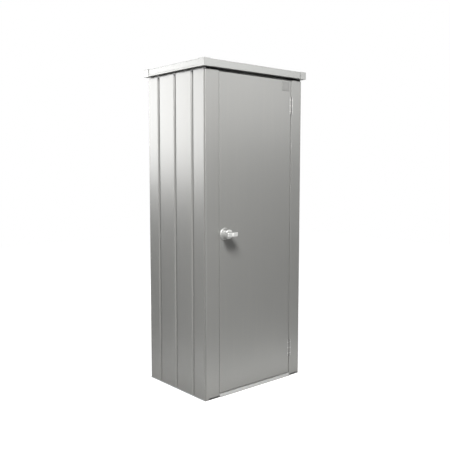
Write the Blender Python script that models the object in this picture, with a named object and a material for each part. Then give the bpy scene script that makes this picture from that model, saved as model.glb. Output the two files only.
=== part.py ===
"""Tall outdoor storage cabinet: a folded-sheet carcass under a flat roof, with one door locked by two rods.

Metres, +Z up. The origin is the middle of the footprint, on the ground. +X runs to the right as seen from the
front, and +Y runs from the front into the depth.
"""

import math

import bmesh
import bpy
from mathutils import Matrix, Vector

# Overall sizes, outside to outside
WIDTH = 0.7395
DEPTH = 0.5205
HEIGHT = 1.820
OVERHANG = 0.017

# Clearances and sheets
FIT = 0.0003
OVERRUN = 0.010
PANEL_SHEET = 0.0008
FRAME_SHEET = 0.0010
BEND = 0.0012
BEND_STEPS = 3
ROUND_STEPS = 24

# Wall elements
GROOVE = 0.022
GROOVE_DEPTH = 0.009
GROOVE_SLOPE = 0.008
FOOT = 0.012
SIDE_PANELS = 2
REAR_PANELS = 3
FRONT_POST_SIDE = 0.094
REAR_POST_SIDE = 0.0935
REAR_POST_BACK = 0.092
LATCH_POST_FACE = 0.0988
HINGE_POST_FACE = 0.0885
CORNER_RADIUS = 0.007
CORNER_STEPS = 8
STOP_WIDTH = 0.018
STOP_LIP = 0.010
FOOT_NOTCH_HEIGHT = 0.009
LATCH_FOOT = 0.025
HINGE_FOOT = 0.014

# Door
LATCH_GAP = 0.0025
HINGE_GAP = 0.005
HEAD_GAP = 0.004
DOOR_BOTTOM = 0.0215
DOOR_DEPTH = 0.025
DOOR_LIP = 0.022
DOOR_BEND = 0.002
SEAL_DEPTH = 0.0054
SEAL_WIDTH = 0.011
SEAL_SET = 0.005
BRACE_DEPTH = 0.006
BRACE_FOOT = 0.014
BRACE_CROWN = 0.050
BRACE_SLOPE = 0.006
BRACE_HEIGHT_SHARES = (0.244, 0.763)

# Base and floor
RAIL_SET = 0.0015
RAIL_FRONT_SET = 0.003
RAIL_LIP = 0.005
RAIL_TOP_WIDTH = 0.020
RAIL_LEDGE = 0.020
BASE_HEIGHT = 0.040
LEDGE_TOP = 0.012
FLOOR_TOP = 0.0245
MIDDLE_RAIL_WIDTH = 0.060
MIDDLE_RAIL_FLANGE = 0.025
SILL_SET = 0.001
SILL_SHEET = 0.0015
SILL_BEND = 0.003
SILL_TOP = 0.0185
SILL_TOE = 0.009
SILL_STOP_TOP = 0.050
FRAME_BACK = 0.056
SILL_LEDGE = 0.020

# Head and top rails
VENT_GAP = 0.012
LINTEL_SET = 0.005
LINTEL_DROP = 0.051
LINTEL_FLANGE = 0.020
TOP_SKIRT = 0.030

# Roof
RIM_HEIGHT = 0.042
RIM_FLANGE = 0.0655
RIM_TOP_WIDTH = 0.020
RIM_RETURN = 0.010
HEM_HEIGHT = 0.0085
HEM_SLOPE = 0.0015
HEM_STEP = 0.0012
CAP_LEG = 0.046
CAP_WALL = 0.0012
CAP_TOP_WIDTH = 0.023
CAP_EDGE_RADIUS = 0.003
ROOF_SIDE_GAP = 0.006
ROOF_FOOT = 0.024
ROOF_FALL = 0.012
ROOF_RIBS = 4
ROOF_RIB_WIDTH = 0.040
ROOF_RIB_CROWN = 0.024
ROOF_RIB_HEIGHT = 0.005

# Shelves
SHELF_HEIGHTS = (0.620, 1.160)
SHELF_DEPTH = 0.260
SHELF_FOLD = 0.020
SHELF_LIP = 0.008
SHELF_REAR_GAP = 0.002
BRACKET_SHEET = 0.0015
BRACKET_LEG = 0.032
BRACKET_LEDGE = 0.020
BRACKET_LENGTH = 0.240

# Tool rail
TOOL_RAIL_HEIGHT = 1.280
TOOL_RAIL_WIDTH = 0.030
TOOL_RAIL_SHEET = 0.0015
TOOL_RAIL_LAP = 0.007
PEGS = 4
PEG_RADIUS = 0.004
PEG_LENGTH = 0.030
PEG_HEAD_RADIUS = 0.0065
PEG_HEAD = 0.003
PEG_SEGMENTS = 12

# Hinges
HINGE_FROM_BOTTOM = 0.1535
HINGE_FROM_TOP = 0.143
HINGE_LENGTH = 0.100
HINGE_PROUD = 0.0025
LEAF_SHEET = 0.002
LEAF_WIDTH = 0.011
LEAF_CLEAR = 0.0005
LEAF_CORNER = 0.002
KNUCKLES = 3
KNUCKLE_RADIUS = 0.0032
KNUCKLE_GAP = 0.0007
PIN_RADIUS = 0.0016
PIN_HEAD_RADIUS = 0.0028
PIN_HEAD = 0.0015

# Handle
HANDLE_EDGE = 0.0362
HANDLE_HEIGHT = 0.902
ROSE_RADIUS = 0.033
ROSE_DEPTH = 0.005
ROSE_EDGE = 0.002
ROSE_HOLE = 0.0065
HUB_BACK_RADIUS = 0.031
HUB_FRONT_RADIUS = 0.024
HUB_FRONT = 0.040
WING_LENGTH = 0.071
WING_HEIGHT = 0.024
WING_BACK = 0.036
WING_FRONT = 0.070
WING_EDGE = 0.003
PLUG_RADIUS = 0.006
PLUG_LENGTH = 0.022
PLUG_FLANGE_RADIUS = 0.0075
PLUG_FLANGE = 0.001
KEYWAY_HEIGHT = 0.007
KEYWAY_WIDTH = 0.0016
KEYWAY_DEPTH = 0.010

# Lock gear, with depths measured from the front of the door skin
GEAR_PLATE_WIDTH = 0.066
GEAR_PLATE_HEIGHT = 0.096
GEAR_PLATE_SHEET = 0.002
SPINDLE_RADIUS = 0.005
SPINDLE_CLEAR = 0.0005
SPINDLE_FRONT = 0.040
SOCKET_DEPTH = 0.0005
CAM_RADIUS = 0.020
CAM_FRONT = 0.007
CAM_BACK = 0.010
CAM_PIN_OFFSET = 0.010
CAM_PIN_RADIUS = 0.003
CAM_PIN_END = 0.0155
YOKE_FRONT = 0.0105
YOKE_BACK = 0.0135
YOKE_WALL = 0.004
YOKE_SLOT_SIDE = 0.0006
YOKE_SLOT_LIFT = 0.0009
YOKE_REACH = 0.030
ROD_RADIUS = 0.004
ROD_CENTRE = 0.012
ROD_TIP = 0.002
ROD_PROUD = 0.0015
ROD_LAP = 0.004
KEEPER_RADIUS = 0.0055
STRAP_SHEET = 0.0015
STRAP_BACK = 0.018
STRAP_HEIGHT = 0.024
STRAP_CLEAR = 0.002
GUIDE_WIDTH = 0.024
GUIDE_HEIGHT = 0.014
GUIDE_BACK = 0.019
GUIDE_FROM_EDGE = 0.060

# Places worked out from the sizes above
LEFT, RIGHT = -WIDTH / 2, WIDTH / 2
FRONT, REAR = -DEPTH / 2, DEPTH / 2
RIM_BOTTOM = HEIGHT - RIM_HEIGHT
WALL_TOP = RIM_BOTTOM - VENT_GAP
HEAD = WALL_TOP + FIT
WALL_BOTTOM = FRAME_SHEET + FIT
WALL_DEEP = GROOVE_DEPTH + FRAME_SHEET
RAIL_UPSTAND = WALL_DEEP + BEND + FRAME_SHEET
RAIL_DROP = RAIL_UPSTAND + RAIL_TOP_WIDTH
RAIL_INSIDE = RAIL_DROP + FRAME_SHEET
STOP_DEPTH = DOOR_DEPTH + SEAL_DEPTH + 2 * FIT
DOOR_LEFT = LEFT + LATCH_POST_FACE + LATCH_GAP
DOOR_RIGHT = RIGHT - HINGE_POST_FACE - HINGE_GAP
DOOR_TOP = WALL_TOP - HEAD_GAP
HINGE_X = DOOR_RIGHT + HINGE_GAP / 2
HINGE_Y = FRONT - HINGE_PROUD
HANDLE_X = DOOR_LEFT + HANDLE_EDGE
HANDLE_AXIS = Vector((HANDLE_X, FRONT, HANDLE_HEIGHT))
RIM_OUT = OVERHANG - CAP_WALL - FIT
RIM_TOP = HEIGHT - CAP_WALL - FIT
SKIN_BACK = FRONT + PANEL_SHEET + FIT

PAINT = ("painted_sheet", (0.52, 0.52, 0.50), 0.36, 0.85)
ROOF_PAINT = ("roof_paint", (0.60, 0.60, 0.58), 0.34, 0.85)
ZINC = ("zinc_sheet", (0.62, 0.64, 0.65), 0.42, 1.0)
ALUMINIUM = ("bright_aluminium", (0.78, 0.78, 0.77), 0.32, 1.0)
STAINLESS = ("stainless", (0.72, 0.71, 0.69), 0.28, 1.0)
CAST = ("silver_casting", (0.78, 0.78, 0.76), 0.34, 0.6)
RUBBER = ("black_rubber", (0.02, 0.02, 0.02), 0.75, 0.0)
NYLON = ("black_nylon", (0.03, 0.03, 0.03), 0.5, 0.0)


def clear_scene():
    for item in list(bpy.data.objects):
        bpy.data.objects.remove(item, do_unlink=True)


def material(slot):
    """One Principled material for each finish."""
    name, colour, roughness, metallic = slot
    found = bpy.data.materials.get(name)
    if found:
        return found
    made = bpy.data.materials.new(name)
    made.use_nodes = True
    shader = made.node_tree.nodes["Principled BSDF"]
    shader.inputs["Base Color"].default_value = (*colour, 1)
    shader.inputs["Roughness"].default_value = roughness
    shader.inputs["Metallic"].default_value = metallic
    return made


def add_object(name, bm, slot):
    """Puts a finished bmesh in the scene, with outward faces and smooth shading between sharp edges."""
    bmesh.ops.recalc_face_normals(bm, faces=bm.faces)
    if all(edge.is_manifold for edge in bm.edges) and bm.calc_volume(signed=True) < 0:
        bmesh.ops.reverse_faces(bm, faces=bm.faces)
    mesh = bpy.data.meshes.new(name)
    bm.to_mesh(mesh)
    bm.free()
    mesh.shade_smooth()
    mesh.set_sharp_from_angle(angle=math.radians(35))
    made = bpy.data.objects.new(name, mesh)
    bpy.context.scene.collection.objects.link(made)
    if slot:
        mesh.materials.append(material(slot))
    return made


def helper(item):
    """A body that only shapes another one stays out of the model."""
    item.hide_render = True
    item.display_type = "WIRE"
    return item


def combine(target, tool, operation="DIFFERENCE"):
    modifier = target.modifiers.new(operation.lower() + "_" + tool.name, "BOOLEAN")
    modifier.operation = operation
    modifier.object = helper(tool)
    modifier.solver = "EXACT"
    return target


# Folded sheet


def fold_points(path, sheet, side, bend):
    """The face line and the back line of a folded strip.

    The face follows path, with an arc at each fold. The sheet lies on the left of the path where side is 1,
    and on its right where side is -1. A path point may carry its own inside radius and number of steps.
    """
    corners = [Vector(point[:2]) for point in path]
    face, back = [], []
    for index, corner in enumerate(corners):
        if index in (0, len(corners) - 1):
            first = min(index, len(corners) - 2)
            along = (corners[first + 1] - corners[first]).normalized()
            face.append(corner)
            back.append(corner + Vector((-along.y, along.x)) * side * sheet)
            continue
        before = (corner - corners[index - 1]).normalized()
        after = (corners[index + 1] - corner).normalized()
        turn = math.atan2(before.x * after.y - before.y * after.x, before.dot(after))
        inside, steps = path[index][2:] if len(path[index]) > 2 else (bend, BEND_STEPS)
        radius = inside + sheet if turn * side > 0 else inside
        start = corner - before * radius * math.tan(abs(turn) / 2)
        hand = math.copysign(1, turn)
        centre = start + Vector((-before.y, before.x)) * hand * radius
        for step in range(steps + 1):
            spin = Matrix.Rotation(turn * step / steps, 2)
            point = centre + spin @ (start - centre)
            normal = spin @ Vector((-before.y, before.x))
            face.append(point)
            back.append(point + normal * side * sheet)
    return face, back


def folded_sheet(name, path, place, start, end, slot, sheet=FRAME_SHEET, side=1, bend=BEND):
    """A folded strip extruded along its length.

    place turns (u, v, length) into a point. start and end give the length at a profile point, so a mitre is a
    function of u.
    """
    face, back = fold_points(path, sheet, side, bend)
    bm = bmesh.new()
    rows = [[bm.verts.new((point.x, point.y, 0)) for point in line] for line in (face, back)]
    ladder = []
    for index in range(len(face) - 1):
        ladder.append(bm.faces.new((rows[0][index], rows[0][index + 1], rows[1][index + 1], rows[1][index])))
    made = bmesh.ops.extrude_face_region(bm, geom=ladder)
    far = {item for item in made["geom"] if isinstance(item, bmesh.types.BMVert)}
    for vertex in bm.verts:
        length = end if vertex in far else start
        reach = length(vertex.co.x) if callable(length) else length
        vertex.co = place(vertex.co.x, vertex.co.y, reach)
    return add_object(name, bm, slot)


def block(name, low, high, slot=None, bevel=0, steps=BEND_STEPS):
    """A box between two corners, with its edges rounded where bevel is given."""
    bm = bmesh.new()
    bmesh.ops.create_cube(bm, size=1)
    low, high = Vector(low), Vector(high)
    for vertex in bm.verts:
        share = [0.5 + value for value in vertex.co]
        vertex.co = Vector(a + (b - a) * s for a, b, s in zip(low, high, share))
    made = add_object(name, bm, slot)
    if bevel:
        modifier = made.modifiers.new("rounded_edges", "BEVEL")
        modifier.width = bevel
        modifier.segments = steps
    return made


def turned(name, profile, axis_point, along, slot=None, segments=ROUND_STEPS):
    """A closed (radius, length) profile turned round an axis through axis_point."""
    bm = bmesh.new()
    points = [bm.verts.new((radius, 0, length)) for radius, length in profile]
    edges = [bm.edges.new((points[i - 1], points[i])) for i in range(len(points))]
    bmesh.ops.spin(bm, geom=points + edges, cent=(0, 0, 0), axis=(0, 0, 1), dvec=(0, 0, 0),
                   angle=math.tau, steps=segments, use_merge=True)
    bmesh.ops.remove_doubles(bm, verts=bm.verts, dist=FIT / 100)
    loose = [edge for edge in bm.edges if not edge.link_faces]
    bmesh.ops.delete(bm, geom=loose, context="EDGES")
    turn = Vector((0, 0, 1)).rotation_difference(Vector(along)).to_matrix().to_4x4()
    bm.transform(Matrix.Translation(axis_point) @ turn)
    return add_object(name, bm, slot)


def cylinder(name, radius, axis_point, along, length, slot=None, chamfer=0, segments=ROUND_STEPS):
    """A round bar from axis_point, with its far end chamfered where chamfer is given."""
    profile = [(0, 0), (radius, 0), (radius, length - chamfer)]
    if chamfer:
        profile.append((radius - chamfer, length))
    profile.append((0, length))
    return turned(name, profile, axis_point, along, slot, segments)


def pan(name, low, high, lip, slot, sheet, opening, bend):
    """A folded pan: a skin with four folded edges, and lips round its open side.

    opening is the axis that the open side faces, "+Y" or "-Z". The skin's outer face is at the other end of it.
    """
    low, high = Vector(low), Vector(high)
    if opening == "+Y":
        corners = [(low.x, low.y, low.z), (high.x, low.y, low.z), (high.x, low.y, high.z),
                   (low.x, low.y, high.z)]
        fold = Vector((0, high.y - low.y, 0))
    else:
        corners = [(low.x, low.y, high.z), (high.x, low.y, high.z), (high.x, high.y, high.z),
                   (low.x, high.y, high.z)]
        fold = Vector((0, 0, low.z - high.z))
    middle = (low + high) / 2
    bm = bmesh.new()
    skin = bm.faces.new([bm.verts.new(corner) for corner in corners])
    walls = bmesh.ops.extrude_edge_only(bm, edges=list(skin.edges))["geom"]
    rim = [item for item in walls if isinstance(item, bmesh.types.BMVert)]
    rim_edges = [item for item in walls if isinstance(item, bmesh.types.BMEdge)
                 and all(vertex in rim for vertex in item.verts)]
    bmesh.ops.translate(bm, verts=rim, vec=fold)
    if lip:
        lips = bmesh.ops.extrude_edge_only(bm, edges=rim_edges)["geom"]
        for vertex in (item for item in lips if isinstance(item, bmesh.types.BMVert)):
            for axis in (0, 1, 2):
                if not fold[axis]:
                    vertex.co[axis] += math.copysign(lip, middle[axis] - vertex.co[axis])
    made = add_object(name, bm, slot)
    if made.data.polygons[0].normal.dot(fold) > 0:
        made.data.flip_normals()
    folds = made.modifiers.new("folds", "BEVEL")
    folds.width = bend
    folds.segments = BEND_STEPS
    folds.limit_method = "ANGLE"
    wall = made.modifiers.new("sheet", "SOLIDIFY")
    wall.thickness = sheet
    wall.offset = -1
    wall.use_even_offset = True
    wall.use_quality_normals = True
    return made


# Walls: along runs from the front or from the left, and inward runs into the cabinet


def left_wall(inward, along, height):
    return LEFT + inward, FRONT + along, height


def right_wall(inward, along, height):
    return RIGHT - inward, FRONT + along, height


def rear_wall(inward, along, height):
    return LEFT + along, REAR - inward, height


def wall_panel(name, place, start, width):
    """One wall element: a foot on the last groove floor, a return, the face, the flank and the floor."""
    seat = GROOVE_DEPTH - FIT
    path = [(seat, start + FOOT), (seat, start - GROOVE_SLOPE), (0, start), (0, start + width),
            (GROOVE_DEPTH, start + width + GROOVE_SLOPE), (GROOVE_DEPTH, start + width + GROOVE + FOOT)]
    return folded_sheet(name, path, place, WALL_BOTTOM, WALL_TOP, PAINT, PANEL_SHEET, -1)


def wall_panels():
    side_width = (DEPTH - FRONT_POST_SIDE - REAR_POST_SIDE - (SIDE_PANELS + 1) * GROOVE) / SIDE_PANELS
    for label, place in (("left", left_wall), ("right", right_wall)):
        for index in range(SIDE_PANELS):
            start = FRONT_POST_SIDE + GROOVE + index * (side_width + GROOVE)
            wall_panel(f"{label}_wall_panel_{index + 1}", place, start, side_width)
    rear_width = (WIDTH - 2 * REAR_POST_BACK - (REAR_PANELS + 1) * GROOVE) / REAR_PANELS
    for index in range(REAR_PANELS):
        start = REAR_POST_BACK + GROOVE + index * (rear_width + GROOVE)
        wall_panel(f"rear_wall_panel_{index + 1}", rear_wall, start, rear_width)


def front_post(name, place, face, hand):
    """Door stop, jamb, front face, rounded corner, side face, and the floor of the first groove."""
    floor_end = FRONT_POST_SIDE + GROOVE + FOOT
    path = [(face + STOP_WIDTH, STOP_DEPTH + STOP_LIP), (face + STOP_WIDTH, STOP_DEPTH), (face, STOP_DEPTH),
            (face, 0), (0, 0, CORNER_RADIUS - FRAME_SHEET, CORNER_STEPS), (0, FRONT_POST_SIDE),
            (GROOVE_DEPTH, FRONT_POST_SIDE + GROOVE_SLOPE), (GROOVE_DEPTH, floor_end)]
    post = folded_sheet(name, path, place, WALL_BOTTOM, WALL_TOP, PAINT, FRAME_SHEET, -1)
    inner = LEFT + face if hand > 0 else RIGHT - face
    edge = LEFT + LATCH_FOOT if hand > 0 else RIGHT - HINGE_FOOT
    ends = sorted((edge, inner + hand * OVERRUN))
    low = (ends[0], FRONT - OVERRUN, -OVERRUN)
    high = (ends[1], FRONT + FRAME_SHEET + BEND, FOOT_NOTCH_HEIGHT)
    return combine(post, block(name + "_notch", low, high))


def rear_posts():
    """The left one carries the groove floor of the first rear panel. The right one ends in two feet."""
    seat = GROOVE_DEPTH - FIT
    corner = (0, 0, CORNER_RADIUS - FRAME_SHEET, CORNER_STEPS)
    side_foot = [(seat, REAR_POST_SIDE - FOOT), (seat, REAR_POST_SIDE + GROOVE_SLOPE), (0, REAR_POST_SIDE),
                 corner]
    groove = REAR_POST_BACK + GROOVE_SLOPE
    floor = [(REAR_POST_BACK, 0), (groove, GROOVE_DEPTH), (REAR_POST_BACK + GROOVE + FOOT, GROOVE_DEPTH)]
    back_foot = [(REAR_POST_BACK, 0), (groove, seat), (REAR_POST_BACK - FOOT, seat)]

    def left_corner(inward, from_rear, height):
        return LEFT + inward, REAR - from_rear, height

    def right_corner(inward, from_rear, height):
        return RIGHT - inward, REAR - from_rear, height

    for name, path, place in (("rear_left_post", side_foot + floor, left_corner),
                              ("rear_right_post", side_foot + back_foot, right_corner)):
        folded_sheet(name, path, place, WALL_BOTTOM, WALL_TOP, PAINT, FRAME_SHEET, 1)


# Rails: u is the distance in from the wall's face, v is the height


def rail_set(prefix, path, front_set, lip=()):
    """Left, right and rear rails of one section, mitred at the rear corners. Side rails alone have the lip."""
    sides = {"left": lambda u, v, w: (LEFT + u, w, v), "right": lambda u, v, w: (RIGHT - u, w, v)}
    for label, place in sides.items():
        folded_sheet(f"{label}_{prefix}", [*lip, *path[1:]] if lip else path, place, FRONT + front_set,
                     lambda u: REAR - max(u, 0) - FIT, ZINC)
    folded_sheet(f"rear_{prefix}", path, lambda u, v, w: (w, REAR - u, v), lambda u: LEFT + u,
                 lambda u: RIGHT - u, ZINC)


def base_rails():
    """A web under the walls, an upstand behind them, a floor ledge, and a low lip outside the side walls."""
    top = BASE_HEIGHT - FRAME_SHEET
    ledge = LEDGE_TOP - FRAME_SHEET
    lip = -(FRAME_SHEET + FIT)
    rail_set("base_rail", [(RAIL_SET, 0), (RAIL_UPSTAND, 0), (RAIL_UPSTAND, top), (RAIL_DROP, top),
                           (RAIL_DROP, ledge), (RAIL_DROP + RAIL_LEDGE, ledge)],
             CORNER_RADIUS + FIT, [(lip, RAIL_LIP), (lip, 0, FIT, BEND_STEPS)])


def top_rails():
    """A web over the walls, an upstand that lifts the roof off them for air, and a skirt inside."""
    top = RIM_BOTTOM - FIT - FRAME_SHEET
    rail_set("top_rail", [(RAIL_SET, HEAD), (RAIL_UPSTAND, HEAD), (RAIL_UPSTAND, top), (RAIL_DROP, top),
                          (RAIL_DROP, WALL_TOP - TOP_SKIRT)], RAIL_FRONT_SET)


def front_member(name, path, start, end, slot, sheet=FRAME_SHEET, side=1, bend=BEND):
    return folded_sheet(name, path, lambda u, v, w: (w, FRONT + u, v), start, end, slot, sheet, side, bend)


def clear_of_stops(member, name, low_z, high_z):
    """Cuts the deep part of a member back to the space between the door stops of the two posts."""
    depth = STOP_DEPTH - BEND - FRAME_SHEET - SILL_SHEET
    inner_left = LEFT + LATCH_POST_FACE + STOP_WIDTH + FIT
    inner_right = RIGHT - HINGE_POST_FACE - STOP_WIDTH - FIT
    for label, ends in (("left", (LEFT - OVERRUN, inner_left)), ("right", (inner_right, RIGHT + OVERRUN))):
        low = (ends[0], FRONT + depth, low_z - OVERRUN)
        high = (ends[1], FRONT + FRAME_BACK + SILL_LEDGE + OVERRUN, high_z + OVERRUN)
        combine(member, block(f"{name}_{label}_end", low, high))


def rod_hole(member, name, x, low_z, high_z):
    start = (x, FRONT + ROD_CENTRE, low_z)
    return combine(member, cylinder(name, KEEPER_RADIUS, start, (0, 0, 1), high_z - low_z))


def sill():
    """The pale strip under the door: a step with a sloped toe, the lower door stop, and a floor ledge."""
    path = [(SILL_SET - SILL_TOE, SILL_SHEET), (SILL_SET, SILL_TOP, SILL_BEND, BEND_STEPS + 1),
            (STOP_DEPTH, SILL_TOP), (STOP_DEPTH, SILL_STOP_TOP), (FRAME_BACK, SILL_STOP_TOP),
            (FRAME_BACK, LEDGE_TOP), (FRAME_BACK + SILL_LEDGE, LEDGE_TOP)]
    start = LEFT + LATCH_POST_FACE + FIT
    end = RIGHT - HINGE_POST_FACE - FIT
    made = front_member("door_sill", path, start, end, ALUMINIUM, SILL_SHEET, -1)
    clear_of_stops(made, "door_sill", 0, SILL_STOP_TOP)
    rod_hole(made, "sill_keeper", lower_rod_x(), SILL_TOP - OVERRUN, SILL_TOP + OVERRUN)


def lintel():
    """The web over the door with the keeper hole, the upper door stop, and a box that carries the roof."""
    roof_seat = RIM_BOTTOM - FIT
    path = [(LINTEL_SET, HEAD), (STOP_DEPTH, HEAD), (STOP_DEPTH, WALL_TOP - LINTEL_DROP),
            (FRAME_BACK, WALL_TOP - LINTEL_DROP), (FRAME_BACK, roof_seat),
            (FRAME_BACK - LINTEL_FLANGE, roof_seat)]
    reach = RAIL_INSIDE + FIT
    made = front_member("lintel", path, LEFT + reach, RIGHT - reach, ZINC)
    clear_of_stops(made, "lintel", WALL_TOP - LINTEL_DROP, roof_seat)
    rod_hole(made, "lintel_keeper", upper_rod_x(), HEAD - KEEPER_RADIUS, HEAD + KEEPER_RADIUS)


def floor():
    reach = RAIL_INSIDE + BEND
    low = (LEFT + reach, FRONT + FRAME_BACK + BEND, LEDGE_TOP + FIT)
    pan("floor_panel", low, (RIGHT - reach, REAR - reach, FLOOR_TOP), 0, ZINC, FRAME_SHEET, "-Z", DOOR_BEND)
    half = MIDDLE_RAIL_WIDTH / 2
    wing = half + MIDDLE_RAIL_FLANGE
    flange = FLOOR_TOP - 2 * FRAME_SHEET - FIT
    path = [(-wing, flange), (-half, flange), (-half, 0), (half, 0), (half, flange), (wing, flange)]
    reach = RAIL_DROP + RAIL_LEDGE + FIT
    folded_sheet("floor_middle_rail", path, lambda u, v, w: (w, u, v), LEFT + reach, RIGHT - reach, ZINC)


# Roof


def roof_rims():
    """Four mitred rims: a bottom flange, a hemmed lower edge, the face, a top flange and its return."""
    hem = RIM_BOTTOM + HEM_HEIGHT
    path = [(RIM_FLANGE, RIM_BOTTOM), (0, RIM_BOTTOM), (0, hem), (HEM_STEP, hem + HEM_SLOPE),
            (HEM_STEP, RIM_TOP), (RIM_TOP_WIDTH, RIM_TOP), (RIM_TOP_WIDTH, RIM_TOP - RIM_RETURN)]
    half_width, half_depth = WIDTH / 2 + RIM_OUT, DEPTH / 2 + RIM_OUT
    places = {
        "front": (lambda u, v, w: (w, u - half_depth, v), half_width),
        "rear": (lambda u, v, w: (w, half_depth - u, v), half_width),
        "left": (lambda u, v, w: (u - half_width, w, v), half_depth - FIT),
        "right": (lambda u, v, w: (half_width - u, w, v), half_depth - FIT),
    }
    for label, (place, half) in places.items():
        rim = folded_sheet(f"{label}_roof_rim", path, place, lambda u, half=half: u - half,
                           lambda u, half=half: half - u, ROOF_PAINT, FRAME_SHEET, -1)
        if label == "front":
            rod_hole(rim, "rim_keeper", upper_rod_x(), RIM_BOTTOM - KEEPER_RADIUS, RIM_BOTTOM + KEEPER_RADIUS)


def roof_caps():
    """Corner caps: an outer wall round the corner with a flange over the rims, from two mitred legs."""
    path = [(0, RIM_BOTTOM), (0, HEIGHT), (CAP_TOP_WIDTH, HEIGHT)]
    for side, x in (("left", -1), ("right", 1)):
        for end, y in (("front", -1), ("rear", 1)):
            corner = Vector((x * (WIDTH / 2 + OVERHANG), y * (DEPTH / 2 + OVERHANG)))

            def along_x(u, v, w, corner=corner, x=x, y=y):
                return corner.x - x * w, corner.y - y * u, v

            def along_y(u, v, w, corner=corner, x=x, y=y):
                return corner.x - x * u, corner.y - y * w, v

            name = f"{end}_{side}_roof_cap"
            lap = CAP_WALL / 2
            cap = folded_sheet(name, path, along_x, lambda u, lap=lap: u - min(u, lap), CAP_LEG, ROOF_PAINT,
                               CAP_WALL, -1)
            leg = folded_sheet(name + "_leg", path, along_y, lambda u, lap=lap: u - min(u, lap), CAP_LEG, None,
                               CAP_WALL, -1)
            combine(cap, leg, "UNION")


def roof_panel():
    """A ribbed sheet inside the rims, standing on their bottom flanges by its two side folds."""
    top = HEIGHT - ROOF_FALL
    seat = RIM_BOTTOM + FRAME_SHEET + FIT
    left, right = LEFT + ROOF_SIDE_GAP, RIGHT - ROOF_SIDE_GAP
    pitch = (right - left) / ROOF_RIBS
    path = [(left + ROOF_FOOT, seat), (left, seat), (left, top)]
    for index in range(ROOF_RIBS):
        centre = left + pitch * (index + 0.5)
        crown, foot = ROOF_RIB_CROWN / 2, ROOF_RIB_WIDTH / 2
        path += [(centre - foot, top), (centre - crown, top + ROOF_RIB_HEIGHT),
                 (centre + crown, top + ROOF_RIB_HEIGHT), (centre + foot, top)]
    path += [(right, top), (right, seat), (right - ROOF_FOOT, seat)]
    folded_sheet("roof_panel", path, lambda u, v, w: (u, w, v), FRONT + ROOF_SIDE_GAP, REAR - ROOF_SIDE_GAP,
                 ROOF_PAINT, PANEL_SHEET, -1)


# Inside fittings


def shelves():
    """Two folded shelves, each on an angle bracket at either side."""
    inside = WALL_DEEP + FIT + BRACKET_SHEET + FIT
    rear = REAR - WALL_DEEP - SHELF_REAR_GAP
    for label, height in zip(("lower", "upper"), SHELF_HEIGHTS):
        low = (LEFT + inside, rear - SHELF_DEPTH, height - SHELF_FOLD)
        pan(f"{label}_shelf", low, (RIGHT - inside, rear, height), SHELF_LIP, PAINT, PANEL_SHEET, "-Z", DOOR_BEND)
        ledge = height - SHELF_FOLD - FIT
        outside = WALL_DEEP + FIT
        path = [(outside, ledge - BRACKET_LEG), (outside, ledge), (outside + BRACKET_LEDGE, ledge)]
        path[0] = (outside + BRACKET_SHEET, ledge - BRACKET_LEG)
        path[1] = (outside + BRACKET_SHEET, ledge - BRACKET_SHEET)
        path[2] = (outside + BRACKET_LEDGE, ledge - BRACKET_SHEET)
        sides = {"left": lambda u, v, w: (LEFT + u, w, v), "right": lambda u, v, w: (RIGHT - u, w, v)}
        for side, place in sides.items():
            folded_sheet(f"{label}_{side}_shelf_bracket", path, place, rear - BRACKET_LENGTH, rear, ZINC,
                         BRACKET_SHEET, 1)


def door_seals():
    """Rubber strips on the three upper door stops."""
    front = FRONT + DOOR_DEPTH + FIT
    back = front + SEAL_DEPTH
    left = LEFT + LATCH_POST_FACE + SEAL_SET
    right = RIGHT - HINGE_POST_FACE - SEAL_SET
    foot = SILL_STOP_TOP + SEAL_SET
    top = WALL_TOP - LINTEL_DROP - SEAL_SET
    rounding = SEAL_DEPTH / 4
    for name, start, end in (("left_door_seal", left, left + SEAL_WIDTH),
                             ("right_door_seal", right - SEAL_WIDTH, right)):
        block(name, (start, front, foot), (end, back, top), RUBBER, rounding, 2)
    inner_left = LEFT + LATCH_POST_FACE + STOP_WIDTH + SEAL_SET
    inner_right = RIGHT - HINGE_POST_FACE - STOP_WIDTH - SEAL_SET
    height = DOOR_TOP - DOOR_LIP / 2
    block("top_door_seal", (inner_left, front, height - SEAL_WIDTH / 2),
          (inner_right, back, height + SEAL_WIDTH / 2), RUBBER, rounding, 2)


# Hinges


def knuckle_spans(own):
    """Heights from the hinge's middle between which the knuckles of one leaf run."""
    step = HINGE_LENGTH / KNUCKLES
    gap = KNUCKLE_GAP / 2
    return [(-HINGE_LENGTH / 2 + step * index + gap, -HINGE_LENGTH / 2 + step * (index + 1) - gap)
            for index in range(KNUCKLES) if index % 2 == own]


def hinge_leaf(name, height, hand, own):
    """A flat leaf on the front face, with its knuckles round the pin. hand is 1 for the post, -1 for the door."""
    near = HINGE_X + hand * (KNUCKLE_RADIUS + LEAF_CLEAR)
    far = near + hand * LEAF_WIDTH
    back = FRONT - FIT
    front = back - LEAF_SHEET
    xs = sorted((near, far))
    leaf = block(name, (xs[0], front, height - HINGE_LENGTH / 2), (xs[1], back, height + HINGE_LENGTH / 2),
                 STAINLESS, LEAF_SHEET / 4, 2)
    for index, (low, high) in enumerate(knuckle_spans(own)):
        xs = sorted((HINGE_X, near + hand * LEAF_CORNER))
        trim = LEAF_SHEET / 10
        web = block(f"{name}_web_{index}", (xs[0], front + trim, height + low), (xs[1], back - trim, height + high))
        combine(leaf, web, "UNION")
        start = (HINGE_X, HINGE_Y, height + low - trim)
        knuckle = cylinder(f"{name}_knuckle_{index}", KNUCKLE_RADIUS, start, (0, 0, 1), high - low + 2 * trim)
        combine(leaf, knuckle, "UNION")
    start = (HINGE_X, HINGE_Y, height - HINGE_LENGTH)
    bore = cylinder(name + "_bore", PIN_RADIUS + FIT, start, (0, 0, 1), 2 * HINGE_LENGTH)
    return combine(leaf, bore)


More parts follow.
